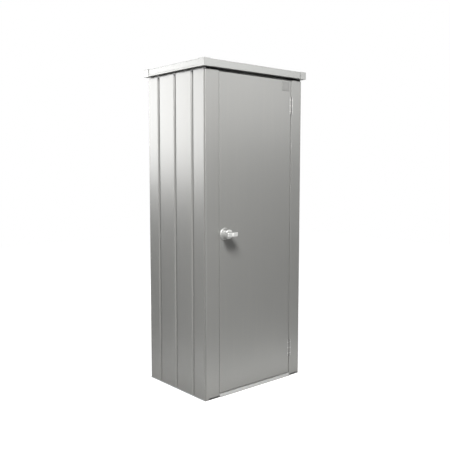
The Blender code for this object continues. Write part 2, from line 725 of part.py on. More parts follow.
def hinges():
    moving = []
    for label, height in (("lower", DOOR_BOTTOM + HINGE_FROM_BOTTOM), ("upper", DOOR_TOP - HINGE_FROM_TOP)):
        hinge_leaf(f"{label}_hinge_post_leaf", height, 1, 0)
        moving.append(hinge_leaf(f"{label}_hinge_door_leaf", height, -1, 1))
        end = HINGE_LENGTH / 2 + FIT
        profile = [(0, -end - PIN_HEAD), (PIN_HEAD_RADIUS, -end - PIN_HEAD), (PIN_HEAD_RADIUS, -end),
                   (PIN_RADIUS, -end), (PIN_RADIUS, end), (PIN_HEAD_RADIUS, end),
                   (PIN_HEAD_RADIUS, end + PIN_HEAD), (0, end + PIN_HEAD)]
        turned(f"{label}_hinge_pin", profile, (HINGE_X, HINGE_Y, height), (0, 0, 1), STAINLESS)
    return moving


# Door


def door_skin():
    """The pan, with a hole for the spindle and one in its top and bottom edge for each rod."""
    high = (DOOR_RIGHT, FRONT + DOOR_DEPTH, DOOR_TOP)
    made = pan("door_pan", (DOOR_LEFT, FRONT, DOOR_BOTTOM), high, DOOR_LIP,
               PAINT, PANEL_SHEET, "+Y", DOOR_BEND)
    start = HANDLE_AXIS - Vector((0, OVERRUN / 2, 0))
    combine(made, cylinder("door_spindle_hole", ROSE_HOLE, start, (0, 1, 0), OVERRUN))
    rod_hole(made, "door_top_hole", upper_rod_x(), DOOR_TOP - OVERRUN, DOOR_TOP + OVERRUN)
    rod_hole(made, "door_bottom_hole", lower_rod_x(), DOOR_BOTTOM - OVERRUN, DOOR_BOTTOM + OVERRUN)
    return made


def door_braces():
    """Two shallow hat sections across the inside of the skin, in front of the rods."""
    crown, foot = BRACE_CROWN / 2, BRACE_CROWN / 2 + BRACE_SLOPE
    wing = foot + BRACE_FOOT
    seat = PANEL_SHEET + FIT
    edge = DOOR_BEND + FIT
    made = []
    for label, share in zip(("lower", "upper"), BRACE_HEIGHT_SHARES):
        height = DOOR_BOTTOM + share * (DOOR_TOP - DOOR_BOTTOM)
        path = [(-wing, seat), (-foot, seat), (-crown, BRACE_DEPTH), (crown, BRACE_DEPTH), (foot, seat),
                (wing, seat)]
        made.append(folded_sheet(f"{label}_door_brace", path,
                                 lambda u, v, w, height=height: (w, FRONT + v, height + u),
                                 DOOR_LEFT + edge, DOOR_RIGHT - edge, ZINC))
    return made


def tool_rail():
    """A strip across the door's inner lips, with round pegs that have a small head."""
    back = FRONT + DOOR_DEPTH + FIT
    left = DOOR_LEFT + DOOR_LIP - TOOL_RAIL_LAP
    right = DOOR_RIGHT - DOOR_LIP + TOOL_RAIL_LAP
    half = TOOL_RAIL_WIDTH / 2
    rail = block("tool_rail", (left, back, TOOL_RAIL_HEIGHT - half),
                 (right, back + TOOL_RAIL_SHEET, TOOL_RAIL_HEIGHT + half), STAINLESS)
    pitch = (right - left) / PEGS
    for index in range(PEGS):
        start = (left + pitch * (index + 0.5), back + TOOL_RAIL_SHEET / 2, TOOL_RAIL_HEIGHT)
        profile = [(0, 0), (PEG_RADIUS, 0), (PEG_RADIUS, PEG_LENGTH), (PEG_HEAD_RADIUS, PEG_LENGTH),
                   (PEG_HEAD_RADIUS, PEG_LENGTH + PEG_HEAD / 2), (PEG_RADIUS, PEG_LENGTH + PEG_HEAD),
                   (0, PEG_LENGTH + PEG_HEAD)]
        peg = turned(f"tool_peg_{index + 1}", profile, start, (0, 1, 0), None, PEG_SEGMENTS)
        combine(rail, peg, "UNION")
    return rail


# Lock gear and handle


def upper_rod_x():
    """The rods stand either side of the handle's axis, in the middle of the cam pins' sideways travel."""
    return HANDLE_X - rod_offset()


def lower_rod_x():
    return HANDLE_X + rod_offset()


def rod_offset():
    return (CAM_PIN_OFFSET + CAM_PIN_OFFSET * math.sqrt(2)) / 2


def yoke_slot_half():
    """Half of the slot: half the pin's sideways travel, the pin, and its play."""
    return (math.sqrt(2) - 1) * CAM_PIN_OFFSET / 2 + CAM_PIN_RADIUS + YOKE_SLOT_SIDE


def gear_plate():
    """A flat plate behind the skin that carries the spindle."""
    half = Vector((GEAR_PLATE_WIDTH, 0, GEAR_PLATE_HEIGHT)) / 2
    low = Vector((HANDLE_X, SKIN_BACK, HANDLE_HEIGHT)) - half
    high = Vector((HANDLE_X, SKIN_BACK + GEAR_PLATE_SHEET, HANDLE_HEIGHT)) + half
    made = block("gear_plate", low, high, ZINC)
    start = HANDLE_AXIS - Vector((0, OVERRUN, 0))
    hole = cylinder("gear_plate_hole", SPINDLE_RADIUS + SPINDLE_CLEAR, start, (0, 1, 0), 3 * OVERRUN)
    return combine(made, hole)


def gear_strap():
    """A bridge over the cam and the two yokes, which keeps the yokes on their pins."""
    seat = PANEL_SHEET + GEAR_PLATE_SHEET + 2 * FIT
    half = GEAR_PLATE_WIDTH / 2
    leg = rod_offset() + yoke_slot_half() + YOKE_WALL + STRAP_CLEAR + STRAP_SHEET
    crown = STRAP_BACK - STRAP_SHEET
    path = [(-half, seat), (-leg, seat), (-leg, crown), (leg, crown), (leg, seat), (half, seat)]
    return folded_sheet("gear_strap", path, lambda u, v, w: (HANDLE_X + u, FRONT + v, HANDLE_HEIGHT + w),
                        -STRAP_HEIGHT / 2, STRAP_HEIGHT / 2, ZINC, STRAP_SHEET)


def rod_guide(name, x, height):
    half = GUIDE_WIDTH / 2
    low = (x - half, SKIN_BACK, height - GUIDE_HEIGHT / 2)
    high = (x + half, FRONT + GUIDE_BACK, height + GUIDE_HEIGHT / 2)
    made = block(name, low, high, NYLON, ROSE_EDGE)
    start = (x, FRONT + ROD_CENTRE, height - GUIDE_HEIGHT)
    return combine(made, cylinder(name + "_bore", ROD_RADIUS + FIT, start, (0, 0, 1), 2 * GUIDE_HEIGHT))


def rose():
    """A round plate on the door skin, domed at its edge, with a hole for the spindle."""
    profile = [(ROSE_HOLE, 0), (ROSE_RADIUS, 0), (ROSE_RADIUS, ROSE_DEPTH - ROSE_EDGE),
               (ROSE_RADIUS - ROSE_EDGE / 3, ROSE_DEPTH - ROSE_EDGE / 3), (ROSE_RADIUS - ROSE_EDGE, ROSE_DEPTH),
               (ROSE_HOLE, ROSE_DEPTH)]
    start = HANDLE_AXIS - Vector((0, FIT, 0))
    return turned("handle_rose", profile, start, (0, -1, 0), CAST)


def cam_plate():
    """A disc behind the door with two pins, on a spindle that reaches forward into the handle's hub."""
    profile = [(0, -CAM_BACK), (CAM_RADIUS, -CAM_BACK), (CAM_RADIUS, -CAM_FRONT),
               (SPINDLE_RADIUS, -CAM_FRONT),
               (SPINDLE_RADIUS, SPINDLE_FRONT), (0, SPINDLE_FRONT)]
    cam = turned("cam_plate", profile, HANDLE_AXIS, (0, -1, 0), ZINC)
    middle = (CAM_FRONT + CAM_BACK) / 2
    for index, hand in enumerate((-1, 1)):
        start = HANDLE_AXIS + Vector((hand * CAM_PIN_OFFSET, middle, hand * CAM_PIN_OFFSET))
        pin = cylinder(f"cam_pin_{index}", CAM_PIN_RADIUS, start, (0, 1, 0), CAM_PIN_END - middle)
        combine(cam, pin, "UNION")
    return cam


def handle_grip():
    """A conical hub with a wing across its front, bored behind for the spindle and in front for the plug."""
    back = ROSE_DEPTH + 2 * FIT
    profile = [(0, back), (HUB_BACK_RADIUS, back), (HUB_FRONT_RADIUS, HUB_FRONT), (0, HUB_FRONT)]
    hub = turned("handle_grip", profile, HANDLE_AXIS, (0, -1, 0), CAST)
    half = Vector((WING_LENGTH, 0, WING_HEIGHT)) / 2
    low = HANDLE_AXIS - half - Vector((0, WING_FRONT, 0))
    high = HANDLE_AXIS + half - Vector((0, WING_BACK, 0))
    combine(hub, block("handle_wing", low, high, None, WING_EDGE), "UNION")
    socket = SPINDLE_FRONT + SOCKET_DEPTH + back
    combine(hub, cylinder("handle_socket", SPINDLE_RADIUS + FIT, HANDLE_AXIS, (0, -1, 0), socket))
    start = HANDLE_AXIS - Vector((0, WING_FRONT - PLUG_LENGTH - FIT, 0))
    combine(hub, cylinder("plug_bore", PLUG_RADIUS + FIT, start, (0, -1, 0), PLUG_LENGTH + OVERRUN))
    return hub


def lock_plug():
    """The round plug in the wing's middle, with a flange in front and a keyway."""
    start = HANDLE_AXIS - Vector((0, WING_FRONT - PLUG_LENGTH, 0))
    lift = PLUG_LENGTH + FIT
    profile = [(0, 0), (PLUG_RADIUS, 0), (PLUG_RADIUS, lift), (PLUG_FLANGE_RADIUS, lift),
               (PLUG_FLANGE_RADIUS, lift + PLUG_FLANGE), (0, lift + PLUG_FLANGE)]
    plug = turned("lock_plug", profile, start, (0, -1, 0), STAINLESS)
    half = Vector((KEYWAY_WIDTH, 0, KEYWAY_HEIGHT)) / 2
    face = WING_FRONT + FIT + PLUG_FLANGE
    low = HANDLE_AXIS - half - Vector((0, face + OVERRUN, 0))
    high = HANDLE_AXIS + half - Vector((0, face - KEYWAY_DEPTH, 0))
    return combine(plug, block("keyway", low, high))


def rod(name, hand, tip):
    """A round rod to tip, ending at the cam in a flat yoke whose cross slot holds the cam pin.

    hand is 1 for the upper rod, whose pin stands down and to the left of the axis at rest, and -1 for the lower one.
    """
    x = HANDLE_X - hand * rod_offset()
    pin_height = HANDLE_HEIGHT - hand * CAM_PIN_OFFSET
    slot_half = yoke_slot_half()
    slot_lift = CAM_PIN_RADIUS + YOKE_SLOT_LIFT
    plate_half = slot_half + YOKE_WALL
    ends = sorted((pin_height - hand * (slot_lift + YOKE_WALL), HANDLE_HEIGHT + hand * YOKE_REACH))
    low = (x - plate_half, FRONT + YOKE_FRONT, ends[0])
    high = (x + plate_half, FRONT + YOKE_BACK, ends[1])
    made = block(name, low, high, ZINC)
    start = Vector((x, FRONT + ROD_CENTRE, HANDLE_HEIGHT + hand * (YOKE_REACH - ROD_LAP)))
    length = abs(tip - start.z)
    combine(made, cylinder(name + "_bar", ROD_RADIUS, start, (0, 0, hand), length, None, ROD_TIP), "UNION")
    low = (x - slot_half, FRONT, pin_height - slot_lift)
    high = (x + slot_half, FRONT + DOOR_DEPTH, pin_height + slot_lift)
    return combine(made, block(name + "_slot", low, high))


def hang(pieces, name, point, parent=None, parent_point=(0, 0, 0)):
    """Hangs pieces from an empty on their joint's axis, where they already are."""
    point, parent_point = Vector(point), Vector(parent_point)
    axis = bpy.data.objects.new(name, None)
    axis.empty_display_size = CAM_RADIUS
    bpy.context.scene.collection.objects.link(axis)
    axis.parent = parent
    axis.location = point - parent_point
    for piece in pieces:
        piece.data.transform(Matrix.Translation(-point))
        piece.parent = axis
    return axis


def build():
    clear_scene()
    front_post("front_left_post", left_wall, LATCH_POST_FACE, 1)
    front_post("front_right_post", right_wall, HINGE_POST_FACE, -1)
    rear_posts()
    wall_panels()
    base_rails()
    top_rails()
    sill()
    lintel()
    floor()
    roof_rims()
    roof_caps()
    roof_panel()
    shelves()
    door_seals()
    door = hinges() + [door_skin(), *door_braces(), tool_rail(), gear_plate(), gear_strap(), rose()]
    door.append(rod_guide("upper_rod_guide", upper_rod_x(), DOOR_TOP - GUIDE_FROM_EDGE))
    door.append(rod_guide("lower_rod_guide", lower_rod_x(), DOOR_BOTTOM + GUIDE_FROM_EDGE))
    hinge_axis = (HINGE_X, HINGE_Y, 0)
    door_axis = hang(door, "door_axis", hinge_axis)
    handle_axis = hang([handle_grip(), cam_plate()], "handle_axis", HANDLE_AXIS, door_axis, hinge_axis)
    hang([lock_plug()], "plug_axis", HANDLE_AXIS, handle_axis, HANDLE_AXIS)
    rods = (("upper_rod", 1, DOOR_TOP + ROD_PROUD), ("lower_rod", -1, DOOR_BOTTOM - ROD_PROUD))
    for name, hand, tip in rods:
        start = (HANDLE_X - hand * rod_offset(), FRONT + ROD_CENTRE, HANDLE_HEIGHT)
        hang([rod(name, hand, tip)], name + "_axis", start, door_axis, hinge_axis)


build()
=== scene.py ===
import math

import bpy
import numpy as np
from bpy.props import FloatProperty, FloatVectorProperty, IntProperty, PointerProperty
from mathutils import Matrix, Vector


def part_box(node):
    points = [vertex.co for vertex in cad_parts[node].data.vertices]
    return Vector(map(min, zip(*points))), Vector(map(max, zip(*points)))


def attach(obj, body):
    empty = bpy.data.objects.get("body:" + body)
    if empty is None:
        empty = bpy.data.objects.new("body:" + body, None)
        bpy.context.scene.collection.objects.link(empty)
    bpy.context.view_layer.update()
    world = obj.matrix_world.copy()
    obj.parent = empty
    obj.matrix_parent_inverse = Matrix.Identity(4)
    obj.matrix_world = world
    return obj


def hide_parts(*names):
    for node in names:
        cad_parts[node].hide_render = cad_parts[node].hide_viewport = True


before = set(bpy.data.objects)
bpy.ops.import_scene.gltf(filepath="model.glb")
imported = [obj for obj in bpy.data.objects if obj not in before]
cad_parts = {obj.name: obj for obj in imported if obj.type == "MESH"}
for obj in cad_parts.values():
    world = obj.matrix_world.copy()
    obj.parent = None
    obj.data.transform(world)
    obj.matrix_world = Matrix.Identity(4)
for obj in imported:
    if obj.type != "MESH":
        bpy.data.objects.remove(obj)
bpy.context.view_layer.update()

bl_info = {
    "name": "Outdoor Storage Cabinet",
    "version": (1, 0, 0),
    "blender": (4, 5, 0),
    "location": "3D View > Sidebar > Cabinet",
    "description": "Finishes, small parts and stage of a tall outdoor storage cabinet",
    "category": "Object",
}

# The directions out of the front and out of the rear
TO_FRONT = (0, -1, 0)
TO_REAR = (0, 1, 0)

# The gap between pieces, and how far the floor lies under the feet
GAP = 0.0003
FLOOR_DROP = 0.0006

# Angles in degrees from which an edge stays sharp
SHEET_ANGLE = 35
TURNED_ANGLE = 30
CAST_ANGLE = 40

# Steps round the cutters of screw holes and of the handle's bores, and rounds of easing on the casting
HOLE_STEPS = 48
BORE_STEPS = 64
CAST_ROUNDS = 6

# The front posts' folded corner, and the rebate in its place: across, back, and the radius of its two edges
POST_SHEET = 0.001
CORNER_RADIUS = 0.007
CORNER_STEPS = 8
REBATE_ACROSS = 0.0068
REBATE_BACK = 0.0066
REBATE_EDGE = 0.0007
REBATE_ROUND = 0.004

# Hinge screws: the leaf's rim, the play round and over a sunk head, and how far up and down the outer two lie
LEAF_RIM = 0.001
SCREW_SINK = 0.0001
LEAF_SCREW_SHARE = 0.33

# Screws on the gear plate, the rod guides and the shelf brackets
PLATE_SCREW_INSET = 0.007
GUIDE_SCREW_INSET = 0.0035
BRACKET_FOOT = 0.001
BRACKET_SCREW_DROP = 0.003
BRACKET_SCREW_SHARES = (0.15, 0.85)

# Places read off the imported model
DOOR_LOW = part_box("door_pan")[0]
GRIP_LOW, GRIP_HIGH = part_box("handle_grip")
ROSE_LOW, ROSE_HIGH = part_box("handle_rose")
PLATE_LOW, PLATE_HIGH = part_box("gear_plate")
FOOT_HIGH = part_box("rear_base_rail")[1]
PLUG_LOW, PLUG_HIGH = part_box("lock_plug")
CAM_LOW, CAM_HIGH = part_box("cam_plate")
PIN_LOW, PIN_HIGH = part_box("upper_hinge_pin")
PIN_X = (PIN_LOW.x + PIN_HIGH.x) / 2
KNUCKLE_REACH = PIN_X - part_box("upper_hinge_post_leaf")[0].x
AXIS = Vector(((ROSE_LOW.x + ROSE_HIGH.x) / 2, DOOR_LOW.y, (ROSE_LOW.z + ROSE_HIGH.z) / 2))
PLUG_FLANGE = (PLUG_HIGH.x - PLUG_LOW.x) / 2
SPINDLE_FRONT = CAM_LOW.y
SPINDLE_RADIUS = (CAM_HIGH.x - CAM_LOW.x) / 8

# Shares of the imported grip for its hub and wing, and of the plug for its keyway
HUB_FRONT_SHARE = 0.775
HUB_LENGTH_SHARE = 0.534
HUB_EASE_SHARE = 0.03
WING_DEPTH_SHARE = 0.528
WING_SHARE = 0.387
WING_ROUND_SHARE = 0.3
PLUG_RADIUS = 0.8 * PLUG_FLANGE
KEYWAY_HALF_WIDTH = 0.11 * PLUG_RADIUS
KEYWAY_REACH = 0.62 * PLUG_RADIUS
KEYWAY_ROUND_SHARE = 0.6

# The bare plate on the door: its middle, corner, gap to the door and how dark its paint is beside the door's
PLATE_MIDDLE = (0.2325, 1.7285)
PLATE_CORNER = 0.003
PLATE_GAP = GAP / 3
PLATE_SHADE = 0.80

# The camera that the photograph was taken with, worked out from its edges
CAMERA_PLACE = (-2.35825, -2.74375, 1.241)
CAMERA_YAW = 40.60
CAMERA_PITCH = -5.10
CAMERA_LENS = 48.6
CAMERA_SENSOR = 36.0

# Lamps: power in watts, place, the point each faces, width and height
LAMPS = {
    "key_lamp": (325.0, (-2.0, -2.25, 3.55), (-0.15, -0.15, 0.9), (1.2, 1.2)),
    "rear_lamp": (90.0, (1.5, 2.9, 2.4), (0.1, 0.2, 0.9), (1.6, 1.6)),
    "left_panel": (91.0, (-2.15, 2.95, 1.95), (-0.37, 0.0, 1.7), (1.9, 1.6)),
    "right_panel": (39.0, (2.5, -2.9, 2.55), (0.0, -0.26, 1.7), (2.0, 1.8)),
    "strip_lamp": (60.0, (-1.045, -2.615, 1.9), (-0.37, -0.26, 1.7), (0.12, 1.3)),
    "floor_lamp": (9.4, (0.1, -0.55, 1.0), (0.1, -0.55, 0.0), (1.4, 0.2)),
    "side_floor_lamp": (7.0, (-0.80, 0.05, 1.3), (-0.80, 0.05, 0.0), (0.25, 0.9)),
}

# Lamps that light only what mirrors them, and lamps with a narrow spread, in degrees
MIRRORED_LAMPS = ("left_panel", "right_panel", "strip_lamp")
FLOOR_LAMPS = ("floor_lamp", "side_floor_lamp")
FLOOR_LAMP_SPREAD = 40.0

# The world's level where it lights and where it is seen
FILL = 0.0
SEEN = 1.0

# The floor: its tint and roughness, the white that mirrors see, and what the camera sees at two distances
FLOOR_ALBEDO = (0.2, 0.2, 0.198)
FLOOR_ROUGHNESS = 0.9
FLOOR_SEEN = 0.6
FLOOR_NEAR = 0.93
FLOOR_FAR = 1.0
FLOOR_REACH = (0.7, 2.0)

# Colours of dirt and wear, of the painted shade in the hinge knuckles and on the casting's upward faces,
# nylon and rubber
DUST = (0.30, 0.285, 0.25)
ZINC_DUST = (0.26, 0.25, 0.22)
# Painted shade in the hinge knuckles
KNUCKLE_SHADE = (0.05, 0.048, 0.044)
POLISHED_CASTING = (0.60, 0.60, 0.585)
# Painted shade on the casting's upward faces
CASTING_TOP_SHADE = (0.15, 0.149, 0.143)
NYLON = (0.03, 0.03, 0.03)
RUBBER = (0.018, 0.018, 0.018)

SHEET_NODES = {
    "carcass": ("front_left_post", "front_right_post", "rear_left_post", "rear_right_post",
                "left_wall_panel_1", "left_wall_panel_2", "right_wall_panel_1", "right_wall_panel_2",
                "rear_wall_panel_1", "rear_wall_panel_2", "rear_wall_panel_3", "lower_shelf", "upper_shelf"),
    "door": ("door_pan",),
}
FRONT_POSTS = ("front_left_post", "front_right_post")
ROOF_NODES = ("front_roof_rim", "rear_roof_rim", "left_roof_rim", "right_roof_rim", "front_left_roof_cap",
              "front_right_roof_cap", "rear_left_roof_cap", "rear_right_roof_cap", "roof_panel")
ZINC_NODES = ("left_base_rail", "right_base_rail", "rear_base_rail", "floor_panel", "floor_middle_rail",
              "lower_left_shelf_bracket", "lower_right_shelf_bracket", "upper_left_shelf_bracket",
              "upper_right_shelf_bracket", "lower_door_brace", "upper_door_brace")
# The rails under the roof and the lintel take a darker copy of the zinc: painted shade beneath the roof's rim
TOP_RAIL_NODES = ("left_top_rail", "right_top_rail", "rear_top_rail", "lintel")


# Settings that a user would change


def colour_setting(name, what, default):
    return FloatVectorProperty(
        name=name, description=f"Colour of {what}", default=default, min=0, max=1, subtype="COLOR")


def share_setting(name, description, default):
    return FloatProperty(name=name, description=description, default=default, min=0, max=1, subtype="FACTOR")


def length_setting(name, description, default, least, most):
    return FloatProperty(
        name=name, description=description, default=default, min=least, max=most, unit="LENGTH")


def power_setting(lamp, name, what):
    return FloatProperty(
        name=name, description=f"Power of {what}", default=LAMPS[lamp][0], min=0, unit="POWER")


class CabinetFinish(bpy.types.PropertyGroup):
    """Colours and surface of the cabinet's finishes."""

    paint: colour_setting("Paint", "the satin metallic paint on walls, posts and door", (0.187, 0.187, 0.179))
    roof_paint: colour_setting("Roof paint", "the paint on the roof", (0.235, 0.237, 0.229))
    casting: colour_setting("Casting", "the silver handle", (0.47, 0.47, 0.458))
    zinc: colour_setting("Zinc", "the galvanised sheet", (0.42, 0.44, 0.45))
    # Painted shade: a darker zinc for the rails under the roof and the lintel, which lie in the rim's shade
    painted_shade_zinc: colour_setting("Dark zinc", "the rails under the roof", (0.15, 0.151, 0.148))
    sill: colour_setting("Sill", "the aluminium sill under the door", (0.225, 0.225, 0.218))
    hinge: colour_setting("Hinges", "the hinge leaves", (0.27, 0.27, 0.262))
    bright: colour_setting("Bright metal", "the steel fittings", (0.58, 0.58, 0.56))
    plug: colour_setting("Lock plug", "the lock plug", (0.70, 0.70, 0.685))
    paint_roughness: share_setting("Paint roughness", "How far the paint spreads a reflection", 0.34)
    paint_metal: share_setting("Paint metal", "Share of the paint that reflects as metal", 0.18)


class CabinetSmallParts(bpy.types.PropertyGroup):
    """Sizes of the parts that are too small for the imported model."""

    screw_radius: length_setting("Screw radius", "Radius of a socket screw's head", 0.0028, 0.001, 0.01)
    screw_height: length_setting("Screw height", "Height of a socket screw's head", 0.0011, 0.0002, 0.01)
    plate_width: length_setting("Plate width", "Width of the bare plate on the door", 0.058, 0.01, 0.2)
    plate_height: length_setting("Plate height", "Height of the bare plate on the door", 0.052, 0.01, 0.2)
    plate_depth: length_setting(
        "Plate thickness", "Thickness of the bare plate on the door", 0.0024, 0.0002, 0.01)
    ring_steps: IntProperty(
        name="Ring steps", description="Steps round a turned piece", default=96, min=24, max=256)
    grain_size: length_setting(
        "Casting mesh", "Side of a face of the cast handle's mesh", 0.0008, 0.0004, 0.005)


class CabinetStage(bpy.types.PropertyGroup):
    """Light and floor."""

    key_lamp_power: power_setting("key_lamp", "Key power", "the lamp at the front left")
    rear_lamp_power: power_setting("rear_lamp", "Rear power", "the soft lamp behind the cabinet")
    left_panel_power: power_setting("left_panel", "Left power", "the panel that the left wall mirrors")
    right_panel_power: power_setting("right_panel", "Right power", "the panel that the front mirrors")
    strip_lamp_power: power_setting(
        "strip_lamp", "Strip power", "the slim upright lamp that the near corner mirrors")
    floor_lamp_power: power_setting(
        "floor_lamp", "Floor power", "the lamp that lights the floor before the door")
    side_floor_lamp_power: power_setting(
        "side_floor_lamp", "Side floor power", "the lamp that lights the floor beside the left wall")
    fill: FloatProperty(
        name="Fill", description="Level of the light from all round", default=FILL, min=0, max=2)
    floor_size: FloatProperty(
        name="Floor size", description="Side of the square floor", default=14.0, min=1, unit="LENGTH")


# Shader node helpers


def node(tree, kind, **values):
    """A node of one kind, with its named inputs and properties set. An underscore stands for a space."""
    made = tree.nodes.new(kind)
    for name, value in values.items():
        if name in made.inputs:
            made.inputs[name].default_value = value
        elif hasattr(made, name):
            setattr(made, name, value)
        else:
            made.inputs[name.replace("_", " ")].default_value = value
    return made


def join(tree, source, target):
    """Links an output to an input."""
    tree.links.new(source, target)


def maths(tree, operation, first, second=None, clamp=False):
    """One sum on sockets or numbers."""
    made = node(tree, "ShaderNodeMath", operation=operation, use_clamp=clamp)
    for socket, value in zip(made.inputs, (first, second)):
        if isinstance(value, (int, float)):
            socket.default_value = value
        elif value is not None:
            join(tree, value, socket)
    return made.outputs[0]


def swing(tree, value, amount):
    """How far a value from 0 to 1 is from a half, times an amount."""
    return maths(tree, "MULTIPLY", maths(tree, "SUBTRACT", value, 0.5), amount)


def remap(tree, value, low, high, to_low=0.0, to_high=1.0):
    """Value from one range to another, kept inside it."""
    made = node(tree, "ShaderNodeMapRange", From_Min=low, From_Max=high, To_Min=to_low, To_Max=to_high)
    join(tree, value, made.inputs["Value"])
    return made.outputs["Result"]


def noise(tree, place, scale, detail, output="Fac"):
    """A noise at a place."""
    made = node(tree, "ShaderNodeTexNoise", Scale=scale, Detail=detail)
    join(tree, place, made.inputs["Vector"])
    return made.outputs[output]


def stretched(tree, place, scale):
    """A place, scaled along each axis."""
    made = node(tree, "ShaderNodeMapping", Scale=scale)
    join(tree, place, made.inputs["Vector"])
    return made.outputs["Vector"]


def axes(tree, place):
    """The X, Y and Z of a place or a direction."""
    split = tree.nodes.new("ShaderNodeSeparateXYZ")
    join(tree, place, split.inputs[0])
    return split.outputs


def vector_sum(tree, operation, first, second=None):
    """One sum on vectors, whose second value may be set later."""
    made = node(tree, "ShaderNodeVectorMath", operation=operation)
    join(tree, first, made.inputs[0])
    if second:
        join(tree, second, made.inputs[1])
    return made


def node_group(name, inputs, outputs):
    """Marks a function that fills a node group between its two end nodes, and makes the group once. An
    input without a default is a vector. The other sockets are numbers."""
    def mark(fill):
        def find():
            found = bpy.data.node_groups.get(name)
            if found:
                return found
            group = bpy.data.node_groups.new(name, "ShaderNodeTree")
            for socket, default in inputs.items():
                kind = "NodeSocketVector" if default is None else "NodeSocketFloat"
                made = group.interface.new_socket(name=socket, in_out="INPUT", socket_type=kind)
                if default is not None:
                    made.default_value = default
            for socket in outputs:
                group.interface.new_socket(name=socket, in_out="OUTPUT", socket_type="NodeSocketFloat")
            fill(group, group.nodes.new("NodeGroupInput"), group.nodes.new("NodeGroupOutput"))
            return group
        return find
    return mark


@node_group("paint_fleck", {"Vector": None, "Fleck": 0.1, "Cloud": 0.04}, ("Shade", "Height"))
def fleck_group(group, enter, leave):
    """Metal flakes in paint: a fine noise for the flakes, a soft cloud for uneven spraying, and the orange
    peel as a height."""
    place = enter.outputs["Vector"]
    flakes = swing(group, noise(group, place, scale=1400.0, detail=1.0), enter.outputs["Fleck"])
    clouds = swing(group, noise(group, place, scale=2.3, detail=2.0), enter.outputs["Cloud"])
    join(group, maths(group, "ADD", maths(group, "ADD", flakes, clouds), 1.0), leave.inputs["Shade"])
    join(group, noise(group, place, scale=420.0, detail=1.5), leave.inputs["Height"])


@node_group("edge_wear", {"Vector": None, "Radius": 0.0012, "Amount": 1.0}, ("Wear",))
def edge_group(group, enter, leave):
    """Edge wear in patches: how far a normal rounded over a small radius turns from the surface's own."""
    rounded = node(group, "ShaderNodeBevel", samples=4)
    join(group, enter.outputs["Radius"], rounded.inputs["Radius"])
    surface = group.nodes.new("ShaderNodeNewGeometry")
    dot = vector_sum(group, "DOT_PRODUCT", rounded.outputs["Normal"], surface.outputs["Normal"])
    turned = remap(group, dot.outputs["Value"], 0.995, 0.86)
    patchy = remap(group, noise(group, enter.outputs["Vector"], scale=55.0, detail=3.0), 0.30, 0.62)
    worn = maths(group, "MULTIPLY", maths(group, "MULTIPLY", turned, patchy), enter.outputs["Amount"])
    join(group, worn, leave.inputs["Wear"])


@node_group("rain_dust", {"Vector": None, "Height": 0.10, "Amount": 1.0}, ("Dust",))
def dust_group(group, enter, leave):
    """Dust that rain leaves: thickest near the ground, with faint streaks that run down the walls."""
    place = enter.outputs["Vector"]
    low = maths(group, "DIVIDE", axes(group, place)["Z"], enter.outputs["Height"])
    near_ground = remap(group, low, 1.0, 0.0)
    streak = noise(group, stretched(group, place, (60.0, 60.0, 2.5)), scale=1.0, detail=3.0)
    streaks = remap(group, streak, 0.52, 0.80, 0.0, 0.35)
    specks = remap(group, noise(group, place, scale=85.0, detail=4.0), 0.42, 0.75, 0.25, 1.0)
    dust = maths(group, "MAXIMUM", maths(group, "MULTIPLY", near_ground, specks), streaks)
    join(group, maths(group, "MULTIPLY", dust, enter.outputs["Amount"], clamp=True), leave.inputs["Dust"])


@node_group("brushed_lines", {"Vector": None, "Strength": 0.2}, ("Shade", "Height"))
def brushed_group(group, enter, leave):
    """Brushed metal: noise at a place that is stretched along one axis, as a shade and a height."""
    lines = noise(group, enter.outputs["Vector"], scale=1.0, detail=4.0)
    shade = maths(group, "ADD", swing(group, lines, enter.outputs["Strength"]), 1.0)
    join(group, shade, leave.inputs["Shade"])
    join(group, lines, leave.inputs["Height"])


@node_group("zinc_spangle", {"Vector": None, "Strength": 0.25}, ("Shade", "Matt"))
def spangle_group(group, enter, leave):
    """Zinc spangle: crystal cells that each have their own shade, under a dull grey film."""
    place = enter.outputs["Vector"]
    push = vector_sum(group, "MULTIPLY_ADD", noise(group, place, scale=90.0, detail=2.0, output="Color"))
    push.inputs[1].default_value = (0.004, 0.004, 0.004)
    join(group, place, push.inputs[2])
    cells = node(group, "ShaderNodeTexVoronoi", Scale=120.0)
    join(group, push.outputs[0], cells.inputs["Vector"])
    split = group.nodes.new("ShaderNodeSeparateColor")
    join(group, cells.outputs["Color"], split.inputs[0])
    cell = swing(group, split.outputs[0], enter.outputs["Strength"])
    join(group, maths(group, "ADD", cell, 1.0), leave.inputs["Shade"])
    film = noise(group, place, scale=14.0, detail=3.0)
    join(group, remap(group, film, 0.35, 0.70, 0.32, 0.55), leave.inputs["Matt"])


# Materials


def made_once(make):
    """Marks a function that makes a material of a name. It runs where there is none of that name yet."""
    def find(name, *values, **named):
        return bpy.data.materials.get(name) or make(name, *values, **named)
    return find


def start_material(name, metallic, roughness):
    """A material with its shader, and Object coordinates for its patterns. Returns them."""
    made = bpy.data.materials.new(name)
    made.use_nodes = True
    tree = made.node_tree
    shader = tree.nodes["Principled BSDF"]
    shader.inputs["Metallic"].default_value = metallic
    shader.inputs["Roughness"].default_value = roughness
    return made, tree, shader, tree.nodes.new("ShaderNodeTexCoord").outputs["Object"]


def use_group(tree, group, place, **values):
    """A node group at a place, with its values set. Returns its outputs."""
    made = tree.nodes.new("ShaderNodeGroup")
    made.node_tree = group
    join(tree, place, made.inputs["Vector"])
    for name, value in values.items():
        made.inputs[name].default_value = value
    return made.outputs


